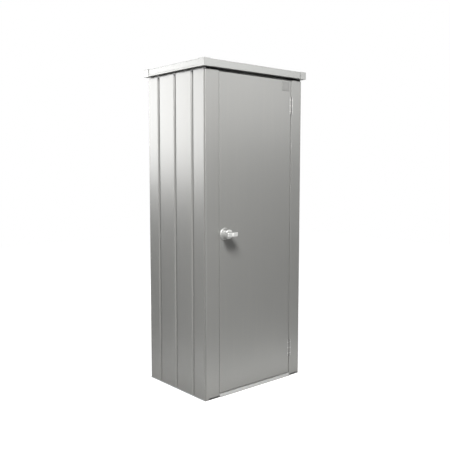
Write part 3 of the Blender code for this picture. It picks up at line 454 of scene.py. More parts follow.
def blend(tree, factor, first, second, kind="MIX"):
    """A colour mix. Factor, first and second are each a socket or a value."""
    made = node(tree, "ShaderNodeMix", data_type="RGBA", blend_type=kind)
    for socket, value in ((made.inputs[0], factor), (made.inputs[6], first), (made.inputs[7], second)):
        if isinstance(value, (int, float)):
            socket.default_value = value
        elif isinstance(value, tuple):
            socket.default_value = (*value, 1.0)
        else:
            join(tree, value, socket)
    return made.outputs[2]


def shaded(tree, colour, shade):
    """A colour times a shade."""
    return blend(tree, 1.0, tuple(colour), shade, "MULTIPLY")


def scaled(colour, times, most=1):
    """A colour with each channel scaled, up to the most."""
    return tuple(min(most, channel * times) for channel in colour)


def add_bump(tree, shader, height, distance, strength):
    """Bumps a shader's surface by a height."""
    bump = node(tree, "ShaderNodeBump", Strength=strength, Distance=distance)
    join(tree, height, bump.inputs["Height"])
    join(tree, bump.outputs["Normal"], shader.inputs["Normal"])


@made_once
def paint_material(name, colour, dust):
    """Satin metallic paint: flakes, uneven spraying, orange peel, a little dust and lighter worn edges."""
    finish = bpy.context.scene.cabinet_finish
    made, tree, shader, place = start_material(name, finish.paint_metal, finish.paint_roughness)
    fleck = use_group(tree, fleck_group(), place, Fleck=0.16, Cloud=0.05)
    wear = use_group(tree, edge_group(), place, Radius=0.0016, Amount=0.45)["Wear"]
    film = use_group(tree, dust_group(), place, Height=0.16, Amount=dust)["Dust"]
    dusty = blend(tree, film, shaded(tree, colour, fleck["Shade"]), DUST)
    join(tree, blend(tree, wear, dusty, scaled(colour, 1.9)), shader.inputs["Base Color"])
    rough = maths(tree, "ADD", maths(tree, "MULTIPLY", film, 0.3), finish.paint_roughness)
    rough = maths(tree, "SUBTRACT", rough, maths(tree, "MULTIPLY", wear, 0.12), clamp=True)
    join(tree, rough, shader.inputs["Roughness"])
    add_bump(tree, shader, fleck["Height"], distance=0.00003, strength=0.35)
    return made


@made_once
def zinc_material(name, colour, metallic):
    """Galvanised sheet: crystal cells under a dull film."""
    made, tree, shader, place = start_material(name, metallic, roughness=0.42)
    cells = use_group(tree, spangle_group(), place, Strength=0.30)
    film = use_group(tree, dust_group(), place, Height=0.05, Amount=0.35)["Dust"]
    dusty = blend(tree, film, shaded(tree, colour, cells["Shade"]), ZINC_DUST)
    join(tree, dusty, shader.inputs["Base Color"])
    join(tree, cells["Matt"], shader.inputs["Roughness"])
    return made


@made_once
def brushed_material(name, colour, roughness, along, metallic=0.95):
    """Brushed metal with its lines along one axis."""
    made, tree, shader, place = start_material(name, metallic, roughness)
    scale = tuple(18.0 if axis == along else 1500.0 for axis in "XYZ")
    lines = use_group(tree, brushed_group(), stretched(tree, place, scale), Strength=0.28)
    wear = use_group(tree, edge_group(), place, Radius=0.0008, Amount=0.5)["Wear"]
    worn = blend(tree, wear, shaded(tree, colour, lines["Shade"]), scaled(colour, 1.5, most=0.8))
    join(tree, worn, shader.inputs["Base Color"])
    rough = remap(tree, lines["Height"], 0.3, 0.7, roughness - 0.07, roughness + 0.09)
    join(tree, rough, shader.inputs["Roughness"])
    add_bump(tree, shader, lines["Height"], distance=0.00002, strength=0.25)
    return made


def hinge_material(colour):
    """Brushed hinge steel, with painted shade in the knuckles: all that lies within the knuckles' radius of
    the pins' axis across the door is darkened in patches."""
    made = brushed_material("hinge_steel", colour, roughness=0.36, along="Z", metallic=0.6)
    tree = made.node_tree
    target = tree.nodes["Principled BSDF"].inputs["Base Color"]
    place = tree.nodes["Texture Coordinate"].outputs["Object"]
    across = maths(tree, "ABSOLUTE", maths(tree, "SUBTRACT", axes(tree, place)["X"], PIN_X))
    # Painted shade: the knuckles are darkened in patches, standing in for the shade in the gap between the
    # leaves
    near = remap(tree, across, KNUCKLE_REACH * 0.95, KNUCKLE_REACH * 1.1, 1.0, 0.0)
    shade_patches = remap(tree, noise(tree, place, scale=240.0, detail=3.0), 0.25, 0.6, 0.7, 1.0)
    steel = target.links[0].from_socket
    join(tree, blend(tree, maths(tree, "MULTIPLY", near, shade_patches), steel, KNUCKLE_SHADE), target)
    return made


@made_once
def cast_material(name, colour, roughness):
    """Silver paint on a casting: a fine pebbled skin, edges that hands have polished, and painted shade that
    darkens what faces up."""
    made, tree, shader, place = start_material(name, metallic=0.65, roughness=roughness)
    fleck = use_group(tree, fleck_group(), place, Fleck=0.10, Cloud=0.05)
    wear = use_group(tree, edge_group(), place, Radius=0.0015, Amount=0.7)["Wear"]
    worn = blend(tree, wear, shaded(tree, colour, fleck["Shade"]), POLISHED_CASTING)
    # Painted shade: faces that turn up mix towards a dark grey, standing in for the shade on the hub's top
    facing = tree.nodes["Texture Coordinate"].outputs["Normal"]
    film = remap(tree, axes(tree, facing)["Z"], 0.3, 1.0, 0.0, 0.8)
    join(tree, blend(tree, film, worn, CASTING_TOP_SHADE), shader.inputs["Base Color"])
    rough = maths(tree, "SUBTRACT", roughness, maths(tree, "MULTIPLY", wear, 0.08))
    join(tree, rough, shader.inputs["Roughness"])
    add_bump(tree, shader, noise(tree, place, scale=900.0, detail=2.0), distance=0.00004, strength=0.4)
    return made


@made_once
def dull_material(name, colour, roughness, grain):
    """Rubber or moulded plastic: a matt skin with a fine grain and pale scuffs."""
    made, tree, shader, place = start_material(name, metallic=0.0, roughness=roughness)
    skin = noise(tree, place, scale=grain, detail=3.0)
    scuff = remap(tree, noise(tree, place, scale=26.0, detail=4.0), 0.55, 0.85, 0.0, 0.5)
    pale = tuple(channel + 0.05 for channel in colour)
    join(tree, blend(tree, scuff, colour, pale), shader.inputs["Base Color"])
    rough = remap(tree, skin, 0.3, 0.7, roughness - 0.08, roughness + 0.08)
    join(tree, rough, shader.inputs["Roughness"])
    add_bump(tree, shader, skin, distance=0.00006, strength=0.4)
    return made


# Mesh helpers


def put_mesh(name, points, faces, material, smooth=SHEET_ANGLE):
    """A mesh object from arrays of points and quads or triangles, smooth between its sharp edges."""
    mesh = bpy.data.meshes.new(name)
    points, faces = np.asarray(points, float), np.asarray(faces, int)
    mesh.vertices.add(len(points))
    mesh.vertices.foreach_set("co", points.ravel())
    mesh.loops.add(faces.size)
    mesh.loops.foreach_set("vertex_index", faces.ravel())
    mesh.polygons.add(len(faces))
    mesh.polygons.foreach_set("loop_start", np.arange(len(faces)) * faces.shape[1])
    mesh.update(calc_edges=True)
    mesh.validate()
    mesh.shade_smooth()
    mesh.set_sharp_from_angle(angle=math.radians(smooth))
    made = bpy.data.objects.new(name, mesh)
    bpy.context.scene.collection.objects.link(made)
    if material:
        mesh.materials.append(material)
    return made


def mesh_points(mesh):
    """A mesh's points, in metres."""
    points = np.empty(len(mesh.vertices) * 3, np.float32)
    mesh.vertices.foreach_get("co", points)
    return points.reshape(-1, 3)


def node_points(name):
    """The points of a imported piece, in metres."""
    return mesh_points(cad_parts[name].data).astype(float)


def ride_with(piece, body, slot, *nodes):
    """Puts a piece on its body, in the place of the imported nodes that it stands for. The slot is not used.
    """
    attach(piece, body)
    if nodes:
        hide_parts(*nodes)
    return piece


def rebated_corner(points):
    """Turns a front post's rounded corner into a small rebate: the side face turns in behind the front
    face, runs across, and comes forward again round a quarter circle. The stations of the fold, outside and
    inside, move onto it in their order."""
    points = np.array(points, float)
    sign, side, front = np.sign(points[:, 0]), np.abs(points[:, 0]).max(), points[:, 1].min()
    inward, back = side - np.abs(points[:, 0]), points[:, 1] - front
    fold = np.maximum(inward, back) < CORNER_RADIUS + GAP
    across, deep = CORNER_RADIUS - inward[fold], CORNER_RADIUS - back[fold]
    station = np.rint(np.arctan2(deep, across) / (math.pi / 2) * CORNER_STEPS).astype(int)
    inside = np.hypot(across, deep) < CORNER_RADIUS - POST_SHEET / 2
    cut = REBATE_EDGE * (1 - math.sqrt(0.5))
    turn = np.linspace(0, math.pi / 2, CORNER_STEPS - 3)
    quarter = (1 - np.stack([np.cos(turn), np.sin(turn)], 1)) * REBATE_ROUND + (REBATE_ACROSS, 0)
    path = np.array([(0, REBATE_BACK + REBATE_EDGE), (cut, REBATE_BACK + cut), (REBATE_EDGE, REBATE_BACK),
                     (REBATE_ACROSS, REBATE_BACK), *quarter])
    moved = path[station] + POST_SHEET * inside[:, None]
    points[fold, 0] = sign[fold] * (side - moved[:, 0])
    points[fold, 1] = front + moved[:, 1]
    return points


def three_cornered(triangles):
    """The triangles whose corners are three different points."""
    first, second, third = triangles.T
    return triangles[(first != second) & (second != third) & (third != first)]


def merged_copy(name, body, slot, material, reshape=None):
    """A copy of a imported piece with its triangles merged, so that its folds shade as the round bends they
    are. Flat faces keep their own normals by weight of area. reshape moves the copy's points."""
    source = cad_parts[name].data
    corners = np.empty(len(source.loops), np.int32)
    source.loops.foreach_get("vertex_index", corners)
    kept, index = np.unique(np.round(mesh_points(source), 6), axis=0, return_inverse=True)
    faces = three_cornered(index.reshape(-1)[corners].reshape(-1, 3))
    if reshape:
        kept = reshape(kept)
    made = put_mesh(name + "_shell", kept, faces, material)
    weigh_faces(made)
    return ride_with(made, body, slot, name)


def weigh_faces(piece):
    """Lets large faces keep their own normals where they meet small ones."""
    weigh = piece.modifiers.new("flat_faces", "WEIGHTED_NORMAL")
    weigh.keep_sharp = True
    weigh.weight = 100


def grid_faces(rows, columns):
    """Quads of a grid of rows by columns, whose columns close round."""
    along = np.arange(rows - 1)[:, None] * columns
    across = np.arange(columns)[None, :]
    following = (across + 1) % columns
    corners = [along + across, along + following, along + columns + following, along + columns + across]
    return np.stack(corners, axis=-1).reshape(-1, 4)


def quarter_turns(steps):
    """Angles once round in four quarters, each with both of its ends, and the signs of each one's side."""
    quarter = np.linspace(0, math.pi / 2, steps)
    angle = (np.arange(4)[:, None] * math.pi / 2 + quarter).ravel()
    return angle, np.repeat([(1, 1), (-1, 1), (-1, -1), (1, -1)], steps, axis=0)


def turned_surface(profile, axis_point, axis, steps):
    """A profile of (radius, length) carried round an axis. A point at angle t is axis point + length times
    the axis + radius times (cos t, sin t) in the plane across it. Returns points and quads. A radius of
    zero closes an end."""
    profile = np.asarray(profile, float)
    angle = np.linspace(0, math.tau, steps, endpoint=False)
    axis = np.asarray(axis, float)
    first = np.array([1.0, 0, 0]) if abs(axis[0]) < 0.5 else np.array([0, 0, 1.0])
    second = np.cross(axis, first)
    ring = np.cos(angle)[:, None] * first + np.sin(angle)[:, None] * second
    points = np.asarray(axis_point, float) + profile[:, None, 1:2] * axis + profile[:, None, 0:1] * ring[None]
    return points.reshape(-1, 3), grid_faces(len(profile), steps)


def weld(points, quads, distance=1e-6):
    """Merges points that lie on each other, and cuts quads into triangles with three different corners."""
    kept, index = np.unique(np.round(points / distance).astype(np.int64), axis=0, return_inverse=True)
    places = np.zeros((len(kept), 3))
    places[index.reshape(-1)] = points
    triangles = np.concatenate([quads[:, [0, 1, 2]], quads[:, [0, 2, 3]]])
    return places, three_cornered(index.reshape(-1)[triangles])


def outward(points, triangles):
    """Turns a closed mesh's triangles so that they face out, by the sign of its volume."""
    first, second, third = (points[triangles[:, corner]] for corner in range(3))
    volume = np.einsum("ij,ij->i", first, np.cross(second, third)).sum()
    return triangles if volume > 0 else triangles[:, ::-1]


def rounded_block(low, high, radius, steps):
    """A block with rounded edges. A point is the corner of the block shrunk by the radius that lies on its
    own side, plus the radius times (cos v cos u, sin v, cos v sin u), for u once round and v from pole to
    pole. Each quarter turn of u and v has its own corner, so that flat faces stretch between them. Two rows
    at the middles of the end faces close it."""
    low, high = np.asarray(low, float), np.asarray(high, float)
    u, side = quarter_turns(steps)
    v = np.concatenate([u[:steps] - math.pi / 2, u[:steps]])
    end = np.repeat([-1, 1], steps)
    core = (high - low) / 2 - radius
    x = side[None, :, 0] * core[0] + radius * np.cos(v)[:, None] * np.cos(u)
    y = (end * core[1] + radius * np.sin(v))[:, None] + 0 * u
    z = side[None, :, 1] * core[2] + radius * np.cos(v)[:, None] * np.sin(u)
    rows = np.stack([x, y, z], axis=-1)
    ends = rows[[0, -1]] * (0, 1, 0)
    rows = np.concatenate([ends[:1], rows, ends[1:]]) + (low + high) / 2
    points, faces = weld(rows.reshape(-1, 3), grid_faces(len(rows), len(u)))
    return points, outward(points, faces)


def lathe(profile, axis_point, axis, steps):
    """A turned surface with its seam and poles closed and its faces outward."""
    points, faces = weld(*turned_surface(profile, axis_point, axis, steps))
    return points, outward(points, faces)


def framed_plate(width, height, depth, radius, steps=8):
    """A plate with a sunk line near its edge. Each row is a rounded rectangle drawn in from the edge by an
    inset: a point is the side's sign times (half size - the larger of radius and inset), plus what the
    inset leaves of the radius times (cos t, sin t). Each row has its own height. Returns points as across,
    up and proud."""
    shares = [(0, 0), (0, 0.7), (0.3, 1), (2, 1), (2.1, 0.5), (3.1, 0.5), (3.2, 1), (3.5, 1)]
    profile = depth * np.array(shares)
    angle, side = quarter_turns(steps)
    inset = profile[:, :1]
    core = np.maximum(radius, inset)
    left = np.maximum(radius - inset, 0)
    across = side[:, 0] * (width / 2 - core) + left * np.cos(angle)
    up = side[:, 1] * (height / 2 - core) + left * np.sin(angle)
    rows = np.stack([across, up, profile[:, 1:] + 0 * angle], axis=-1)
    middle = rows[[0, -1]] * (0, 0, 1)
    rows = np.concatenate([middle[:1], rows, middle[1:]])
    return weld(rows.reshape(-1, 3), grid_faces(len(rows), len(angle)))


def socket_screw(radius, height, axis, steps=36):
    """A low domed head with a six-sided socket. The dome's rows are round, and in the socket's rows the
    radius at angle t is cos 30 / cos((t mod 60) - 30) times its own, which makes the circle a hexagon."""
    rows = np.array([(0, 0, 0), (1, 0, 0), (1, 0.4, 0), (0.92, 0.7, 0), (0.76, 0.92, 0), (0.58, 1, 0),
                     (0.50, 1, 1), (0.46, 0.94, 1), (0.46, 0.3, 1), (0, 0.3, 0)])
    points, faces = turned_surface(rows[:, :2] * (radius, height), (0, 0, 0), axis, steps)
    turn = np.linspace(0, math.tau, steps, endpoint=False) % (math.pi / 3) - math.pi / 6
    six = math.cos(math.pi / 6) / np.cos(turn)
    share = np.where(rows[:, 2][:, None] > 0, six[None], 1.0).reshape(-1, 1)
    axis = np.asarray(axis, float)
    along = (points @ axis)[:, None] * axis
    points, faces = weld(along + (points - along) * share, faces)
    return points, outward(points, faces)


def place_many(points, faces, places):
    """One mesh's points and faces repeated at many places."""
    places = np.asarray(places, float)
    first = (np.arange(len(places)) * len(points))[:, None, None]
    return (points[None] + places[:, None]).reshape(-1, 3), (faces[None] + first).reshape(-1, faces.shape[1])


def settle(piece):
    """Keeps the result of a piece's modifiers as its own mesh."""
    view = bpy.context.evaluated_depsgraph_get()
    view.update()
    done = bpy.data.meshes.new_from_object(piece.evaluated_get(view))
    piece.modifiers.clear()
    piece.data = done


def carve(piece, tools, angle):
    """Cuts each closed surface in tools out of a piece, and shades what is left smooth up to an angle."""
    for index, (points, faces) in enumerate(tools):
        tool = put_mesh(f"{piece.name}_tool_{index}", points, faces, None)
        cut = piece.modifiers.new("cut", "BOOLEAN")
        cut.operation, cut.object, cut.solver = "DIFFERENCE", tool, "EXACT"
        settle(piece)
        bpy.data.objects.remove(tool)
    piece.data.shade_smooth()
    piece.data.set_sharp_from_angle(angle=math.radians(angle))


def cast(piece, grain, rounds):
    """Runs overlapping closed surfaces into one skin with faces of the grain's side, and eases its corners
    by moving each point towards the middle of its neighbours a few times, as a casting's fillets are."""
    skin = piece.modifiers.new("skin", "REMESH")
    skin.mode, skin.voxel_size = "VOXEL", grain
    skin.adaptivity = 0
    ease = piece.modifiers.new("ease", "SMOOTH")
    ease.factor, ease.iterations = 0.5, rounds
    settle(piece)


# Small parts


def add_screws(name, body, places, axis):
    """Socket screws whose heads stand on the given places along an axis."""
    small, bright = bpy.context.scene.cabinet_small_parts, bpy.context.scene.cabinet_finish.bright
    steel = brushed_material("screw_steel", bright, roughness=0.32, along="X", metallic=0.8)
    points, faces = socket_screw(small.screw_radius, small.screw_height, axis)
    made = put_mesh(name, *place_many(points, faces, places), steel, TURNED_ANGLE)
    ride_with(made, body, "stainless")


def sink_screws(leaf, name, body, flat, upright):
    """Three screws in a column on the flat part of a hinge leaf, each in a hole a little deeper and wider
    than its head. flat and upright are where that part starts and ends across and up."""
    small = bpy.context.scene.cabinet_small_parts
    points = node_points(name)
    on_leaf = (points[:, 0] > flat[0] + LEAF_RIM) & (points[:, 0] < flat[1] - LEAF_RIM)
    front = points[on_leaf, 1].min()
    middle, reach = (upright[0] + upright[1]) / 2, (upright[1] - upright[0]) * LEAF_SCREW_SHARE
    sink, wide = small.screw_height + SCREW_SINK, small.screw_radius + SCREW_SINK
    places = [((flat[0] + flat[1]) / 2, front + sink, middle + step * reach) for step in (-1, 0, 1)]
    hole = [(0, 0), (wide, 0), (wide, sink * 2), (0, sink * 2)]
    leaf.modifiers.clear()
    tools = [lathe(hole, (x, y + SCREW_SINK, z), TO_FRONT, HOLE_STEPS) for x, y, z in places]
    carve(leaf, tools, SHEET_ANGLE)
    weigh_faces(leaf)
    add_screws(f"{name}_screws", body, places, TO_FRONT)


def on_axis(profile, back, steps):
    """A profile of (radius, length) turned about the handle's axis. Its lengths run forward from the back."""
    return lathe(profile, (AXIS.x, back, AXIS.z), TO_FRONT, steps)


def bore(radius, front, back):
    """A plain cylinder on the handle's axis, from front to back along y, as a cutter."""
    return on_axis([(0, 0), (radius, 0), (radius, back - front), (0, back - front)], back, BORE_STEPS)


def rose_surface(steps):
    """The rose's section is closed: up the rim, over a shoulder that is a quarter ellipse, across the face
    with a sunk ring in it, and down the hole. It is carried once round the handle's axis."""
    away = np.hypot(*(node_points("handle_rose")[:, [0, 2]] - (AXIS.x, AXIS.z)).T)
    inner, outer, depth = away.min(), (ROSE_HIGH.x - ROSE_LOW.x) / 2, ROSE_HIGH.y - ROSE_LOW.y
    turn = np.linspace(0, math.pi / 2, 9)
    shoulder = depth * 0.5
    rim = (outer - shoulder, depth - shoulder) + shoulder * np.stack([np.cos(turn), np.sin(turn)], axis=1)
    ring = [(outer * 0.86, depth), (outer * 0.85, depth * 0.93), (outer * 0.82, depth * 0.93),
            (outer * 0.81, depth)]
    hole = [(inner + depth * 0.1, depth), (inner, depth * 0.9), (inner, 0), (outer, 0)]
    profile = np.concatenate([[(outer, 0)], rim, ring, hole])
    return on_axis(profile, ROSE_HIGH.y, steps)


def hub_surface(steps):
    """The hub is a cone with eased ends: its radius falls straight from the back to where the wing begins,
    and its front end is inside the wing."""
    back = (GRIP_HIGH.z - GRIP_LOW.z) / 2
    front, length = back * HUB_FRONT_SHARE, (GRIP_HIGH.y - GRIP_LOW.y) * HUB_LENGTH_SHARE
    ease = length * HUB_EASE_SHARE
    profile = [(0, 0), (back - ease, 0), (back - ease * 0.3, ease * 0.3), (back, ease),
               (front + ease, length - ease * 2), (front, length - ease), (front - ease * 2, length),
               (0, length)]
    return on_axis(profile, GRIP_HIGH.y, steps)


def wing_surface():
    """The wing is a block with rounded edges across the front of the hub."""
    depth = (GRIP_HIGH.y - GRIP_LOW.y) * WING_DEPTH_SHARE
    tall = WING_SHARE * (GRIP_HIGH.z - GRIP_LOW.z) / 2
    low, high = (GRIP_LOW.x, GRIP_LOW.y, AXIS.z - tall), (GRIP_HIGH.x, GRIP_LOW.y + depth, AXIS.z + tall)
    return rounded_block(low, high, tall * WING_ROUND_SHARE, steps=8)


def plug_surface(steps):
    """The plug is a cylinder with a flange in front of the wing. The flange has an eased edge and a raised
    ring round a sunk face."""
    length, radius = PLUG_HIGH.y - PLUG_LOW.y, PLUG_FLANGE
    under = length - (GRIP_LOW.y - PLUG_LOW.y) + GAP
    step = radius * 0.05
    profile = [(0, 0), (PLUG_RADIUS - step, 0), (PLUG_RADIUS, step), (PLUG_RADIUS, under), (radius, under),
               (radius, length - step * 1.6), (radius - step * 0.5, length - step * 0.5),
               (radius - step * 1.6, length), (radius - step * 3, length),
               (radius - step * 3.8, length - step), (0, length - step)]
    return on_axis(profile, PLUG_HIGH.y, steps)


def keyway_surface():
    """The keyway is an upright slot with rounded edges in the plug's face."""
    middle = np.array((AXIS.x, PLUG_LOW.y, AXIS.z))
    reach = (KEYWAY_HALF_WIDTH, KEYWAY_REACH, KEYWAY_REACH)
    return rounded_block(middle - reach, middle + reach, KEYWAY_HALF_WIDTH * KEYWAY_ROUND_SHARE, steps=6)


# Operators


class CABINET_OT_sheet_metal(bpy.types.Operator):
    """Paint the posts, wall panels, door and shelves"""

    bl_idname = "cabinet.sheet_metal"
    bl_label = "Painted sheet metal"

    def execute(self, context):
        paint = paint_material("satin_metallic_paint", context.scene.cabinet_finish.paint, dust=0.15)
        for body, names in SHEET_NODES.items():
            for name in names:
                reshape = rebated_corner if name in FRONT_POSTS else None
                merged_copy(name, body, "painted_sheet", paint, reshape)
        return {"FINISHED"}


class CABINET_OT_roof(bpy.types.Operator):
    """Paint the roof panel, its rims and corner caps"""

    bl_idname = "cabinet.roof"
    bl_label = "Roof"

    def execute(self, context):
        paint = paint_material("satin_roof_paint", context.scene.cabinet_finish.roof_paint, dust=0.10)
        for name in ROOF_NODES:
            merged_copy(name, "carcass", "roof_paint", paint)
        return {"FINISHED"}


class CABINET_OT_zinc_frame(bpy.types.Operator):
    """Galvanise the rails, lintel, floor, brackets and door braces, with painted shade as a darker zinc on
    the rails under the roof and the lintel
    """

    bl_idname = "cabinet.zinc_frame"
    bl_label = "Galvanised frame"

    def execute(self, context):
        finish = context.scene.cabinet_finish
        zinc = zinc_material("galvanised_sheet", finish.zinc, metallic=0.85)
        # Painted shade: the same zinc, darker, for the rails and lintel in the shade under the roof
        shaded_zinc = zinc_material("dark_galvanised_sheet", finish.painted_shade_zinc, metallic=0.35)
        for name in (*ZINC_NODES, *TOP_RAIL_NODES):
            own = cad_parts[name]
            own.data.materials.clear()
            own.data.materials.append(shaded_zinc if name in TOP_RAIL_NODES else zinc)
        return {"FINISHED"}


class CABINET_OT_sill(bpy.types.Operator):
    """Make the bright sill under the door"""

    bl_idname = "cabinet.sill"
    bl_label = "Door sill"

    def execute(self, context):
        sill = context.scene.cabinet_finish.sill
        bright = brushed_material("satin_aluminium", sill, roughness=0.42, along="X", metallic=0.4)
        merged_copy("door_sill", "carcass", "bright_aluminium", bright)
        return {"FINISHED"}


class CABINET_OT_hinges(bpy.types.Operator):
    """Brush the hinge leaves and pins, and screw the leaves on with sunk screws, so that they fold flat"""

    bl_idname = "cabinet.hinges"
    bl_label = "Hinges"

    def execute(self, context):
        steel = hinge_material(context.scene.cabinet_finish.hinge)
        for label in ("lower", "upper"):
            merged_copy(f"{label}_hinge_pin", "carcass", "stainless", steel)
            pin_low, pin_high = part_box(f"{label}_hinge_pin")
            for part, body in (("post", "carcass"), ("door", "door")):
                name = f"{label}_hinge_{part}_leaf"
                leaf = merged_copy(name, body, "stainless", steel)
                low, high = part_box(name)
                flat = (pin_high.x, high.x) if part == "post" else (low.x, pin_low.x)
                sink_screws(leaf, name, body, flat, (low.z, high.z))
        return {"FINISHED"}


class CABINET_OT_handle(bpy.types.Operator):
    """Make the handle with its rose and lock plug"""

    bl_idname = "cabinet.handle"
    bl_label = "Handle"

    def execute(self, context):
        finish, small = context.scene.cabinet_finish, context.scene.cabinet_small_parts
        silver = cast_material("silver_casting_paint", finish.casting, roughness=0.45)
        rose = put_mesh("round_rose", *rose_surface(small.ring_steps), silver, TURNED_ANGLE)
        ride_with(rose, "door", "silver_casting", "handle_rose")
        hub, wing = hub_surface(small.ring_steps), wing_surface()
        points = np.concatenate([hub[0], wing[0]])
        grip = put_mesh("wing_handle", points, np.concatenate([hub[1], wing[1] + len(hub[0])]), silver)
        cast(grip, small.grain_size, CAST_ROUNDS)
        before_plug = PLUG_LOW.y * 2 - PLUG_HIGH.y
        carve(grip, [bore(PLUG_RADIUS + GAP, before_plug, PLUG_HIGH.y + GAP),
                     bore(SPINDLE_RADIUS + GAP, SPINDLE_FRONT - GAP, AXIS.y)], CAST_ANGLE)
        ride_with(grip, "handle", "silver_casting", "handle_grip")
        steel = brushed_material("brushed_plug_steel", finish.plug, roughness=0.42, along="Z", metallic=0.8)
        plug = put_mesh("keyed_plug", *plug_surface(small.ring_steps), steel, TURNED_ANGLE)
        carve(plug, [keyway_surface()], TURNED_ANGLE)
        ride_with(plug, "plug", "stainless", "lock_plug")
        return {"FINISHED"}


class CABINET_OT_plate(bpy.types.Operator):
    """Make the bare plate at the top of the door"""

    bl_idname = "cabinet.plate"
    bl_label = "Bare plate"

    def execute(self, context):
        finish, small = context.scene.cabinet_finish, context.scene.cabinet_small_parts
        paint = paint_material("plate_paint", scaled(finish.paint, PLATE_SHADE), dust=0.1)
        points, faces = framed_plate(small.plate_width, small.plate_height, small.plate_depth, PLATE_CORNER)
        place = np.stack([PLATE_MIDDLE[0] + points[:, 0], DOOR_LOW.y - points[:, 2] - PLATE_GAP,
                          PLATE_MIDDLE[1] + points[:, 1]], axis=1)
        made = put_mesh("bare_plate", place, outward(place, faces), paint, TURNED_ANGLE)
        ride_with(made, "door", "painted_sheet")
        return {"FINISHED"}


class CABINET_OT_lock_gear(bpy.types.Operator):
    """Finish the lock gear and tool rail on the inside of the door"""

    bl_idname = "cabinet.lock_gear"
    bl_label = "Lock gear"

    def execute(self, context):
        finish = context.scene.cabinet_finish
        zinc = zinc_material("galvanised_sheet", finish.zinc, metallic=0.85)
        steel = brushed_material("brushed_steel_upright", finish.bright, roughness=0.30, along="Z")
        level = brushed_material("brushed_steel_level", finish.bright, roughness=0.30, along="X")
        nylon = dull_material("black_nylon_grain", NYLON, roughness=0.50, grain=700.0)
        for name, body in (("gear_plate", "door"), ("gear_strap", "door"), ("cam_plate", "handle")):
            merged_copy(name, body, "zinc_sheet", zinc)
        for name in ("upper_rod", "lower_rod"):
            merged_copy(name, name, "zinc_sheet", steel)
        for name in ("upper_rod_guide", "lower_rod_guide"):
            merged_copy(name, "door", "black_nylon", nylon)
        merged_copy("tool_rail", "door", "stainless", level)
        places = [(x, PLATE_HIGH.y, z)
                  for x in (PLATE_LOW.x + PLATE_SCREW_INSET, PLATE_HIGH.x - PLATE_SCREW_INSET)
                  for z in (PLATE_LOW.z + PLATE_SCREW_INSET, PLATE_HIGH.z - PLATE_SCREW_INSET)]
        add_screws("gear_plate_screws", "door", places, TO_REAR)
        for name in ("upper_rod_guide", "lower_rod_guide"):
            low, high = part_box(name)
            places = [(x, high.y, (low.z + high.z) / 2)
                      for x in (low.x + GUIDE_SCREW_INSET, high.x - GUIDE_SCREW_INSET)]
            add_screws(f"{name}_screws", "door", places, TO_REAR)
        return {"FINISHED"}


class CABINET_OT_shelf_screws(bpy.types.Operator):
    """Screw the shelf brackets to the walls"""

    bl_idname = "cabinet.shelf_screws"
    bl_label = "Shelf bracket screws"

    def execute(self, context):
        for level in ("lower", "upper"):
            for side, hand in (("left", 1), ("right", -1)):
                name = f"{level}_{side}_shelf_bracket"
                low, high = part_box(name)
                points = node_points(name)
                foot = points[points[:, 2] < low.z + BRACKET_FOOT]
                inner = (foot[:, 0] * hand).max() * hand
                up = (low.z + high.z) / 2 - BRACKET_SCREW_DROP
                places = [(inner, low.y + (high.y - low.y) * share, up) for share in BRACKET_SCREW_SHARES]
                add_screws(f"{name}_screws", "carcass", places, (hand, 0, 0))
        return {"FINISHED"}


class CABINET_OT_seals(bpy.types.Operator):
    """Finish the rubber seals on the door stops"""

    bl_idname = "cabinet.seals"
    bl_label = "Door seals"

    def execute(self, context):
        rubber = dull_material("black_rubber_skin", RUBBER, roughness=0.72, grain=500.0)
        for name in ("left_door_seal", "right_door_seal", "top_door_seal"):
            merged_copy(name, "carcass", "black_rubber", rubber)
        return {"FINISHED"}


class CABINET_OT_stage(bpy.types.Operator):
    """Set up the floor, the lamps and the camera of the photograph"""

    bl_idname = "cabinet.stage"
    bl_label = "Stage"

    def execute(self, context):
        scene, stage = context.scene, context.scene.cabinet_stage
        scene.view_settings.view_transform = "Standard"
        half = stage.floor_size / 2
        corners = [(-half, -half, -FLOOR_DROP), (half, -half, -FLOOR_DROP), (half, half, -FLOOR_DROP),
                   (-half, half, -FLOOR_DROP)]
        floor = put_mesh("floor", corners, [(0, 1, 2, 3)], floor_material())
        scene.world = studio_world(stage.fill)
        for name, (_, place, focus, size) in LAMPS.items():
            lamp = add_lamp(name, place, focus, size, getattr(stage, f"{name}_power"))
            lamp.visible_diffuse = name not in MIRRORED_LAMPS
            if name in FLOOR_LAMPS:
                lamp.data.spread = math.radians(FLOOR_LAMP_SPREAD)
        add_camera()
        return {"FINISHED"}


# Floor, light and camera


def add_object(name, data, place, direction):
    """A lamp or a camera at a place, that looks in a direction."""
    made = bpy.data.objects.new(name, data)
    made.location = place
    made.rotation_mode = "QUATERNION"
    made.rotation_quaternion = direction.to_track_quat("-Z", "Y")
    bpy.context.scene.collection.objects.link(made)
    return made


def add_lamp(name, place, focus, size, power):
    """A rectangular lamp that faces a point and isn't seen by the camera."""
    lamp = bpy.data.lights.new(name, "AREA")
    lamp.shape = "RECTANGLE"
    lamp.size, lamp.size_y = size
    lamp.energy = power
    made = add_object(name, lamp, place, Vector(focus) - Vector(place))
    made.visible_camera = False
    return made


def add_camera():
    """The camera of the photograph."""
    lens = bpy.data.cameras.new("camera")
    lens.lens = CAMERA_LENS
    lens.sensor_width = CAMERA_SENSOR
    lens.clip_start, lens.clip_end = 0.01, 100
    yaw, pitch = math.radians(CAMERA_YAW), math.radians(CAMERA_PITCH)
    forward = Vector((math.sin(yaw) * math.cos(pitch), math.cos(yaw) * math.cos(pitch), math.sin(pitch)))
    bpy.context.scene.camera = add_object("camera", lens, CAMERA_PLACE, forward)


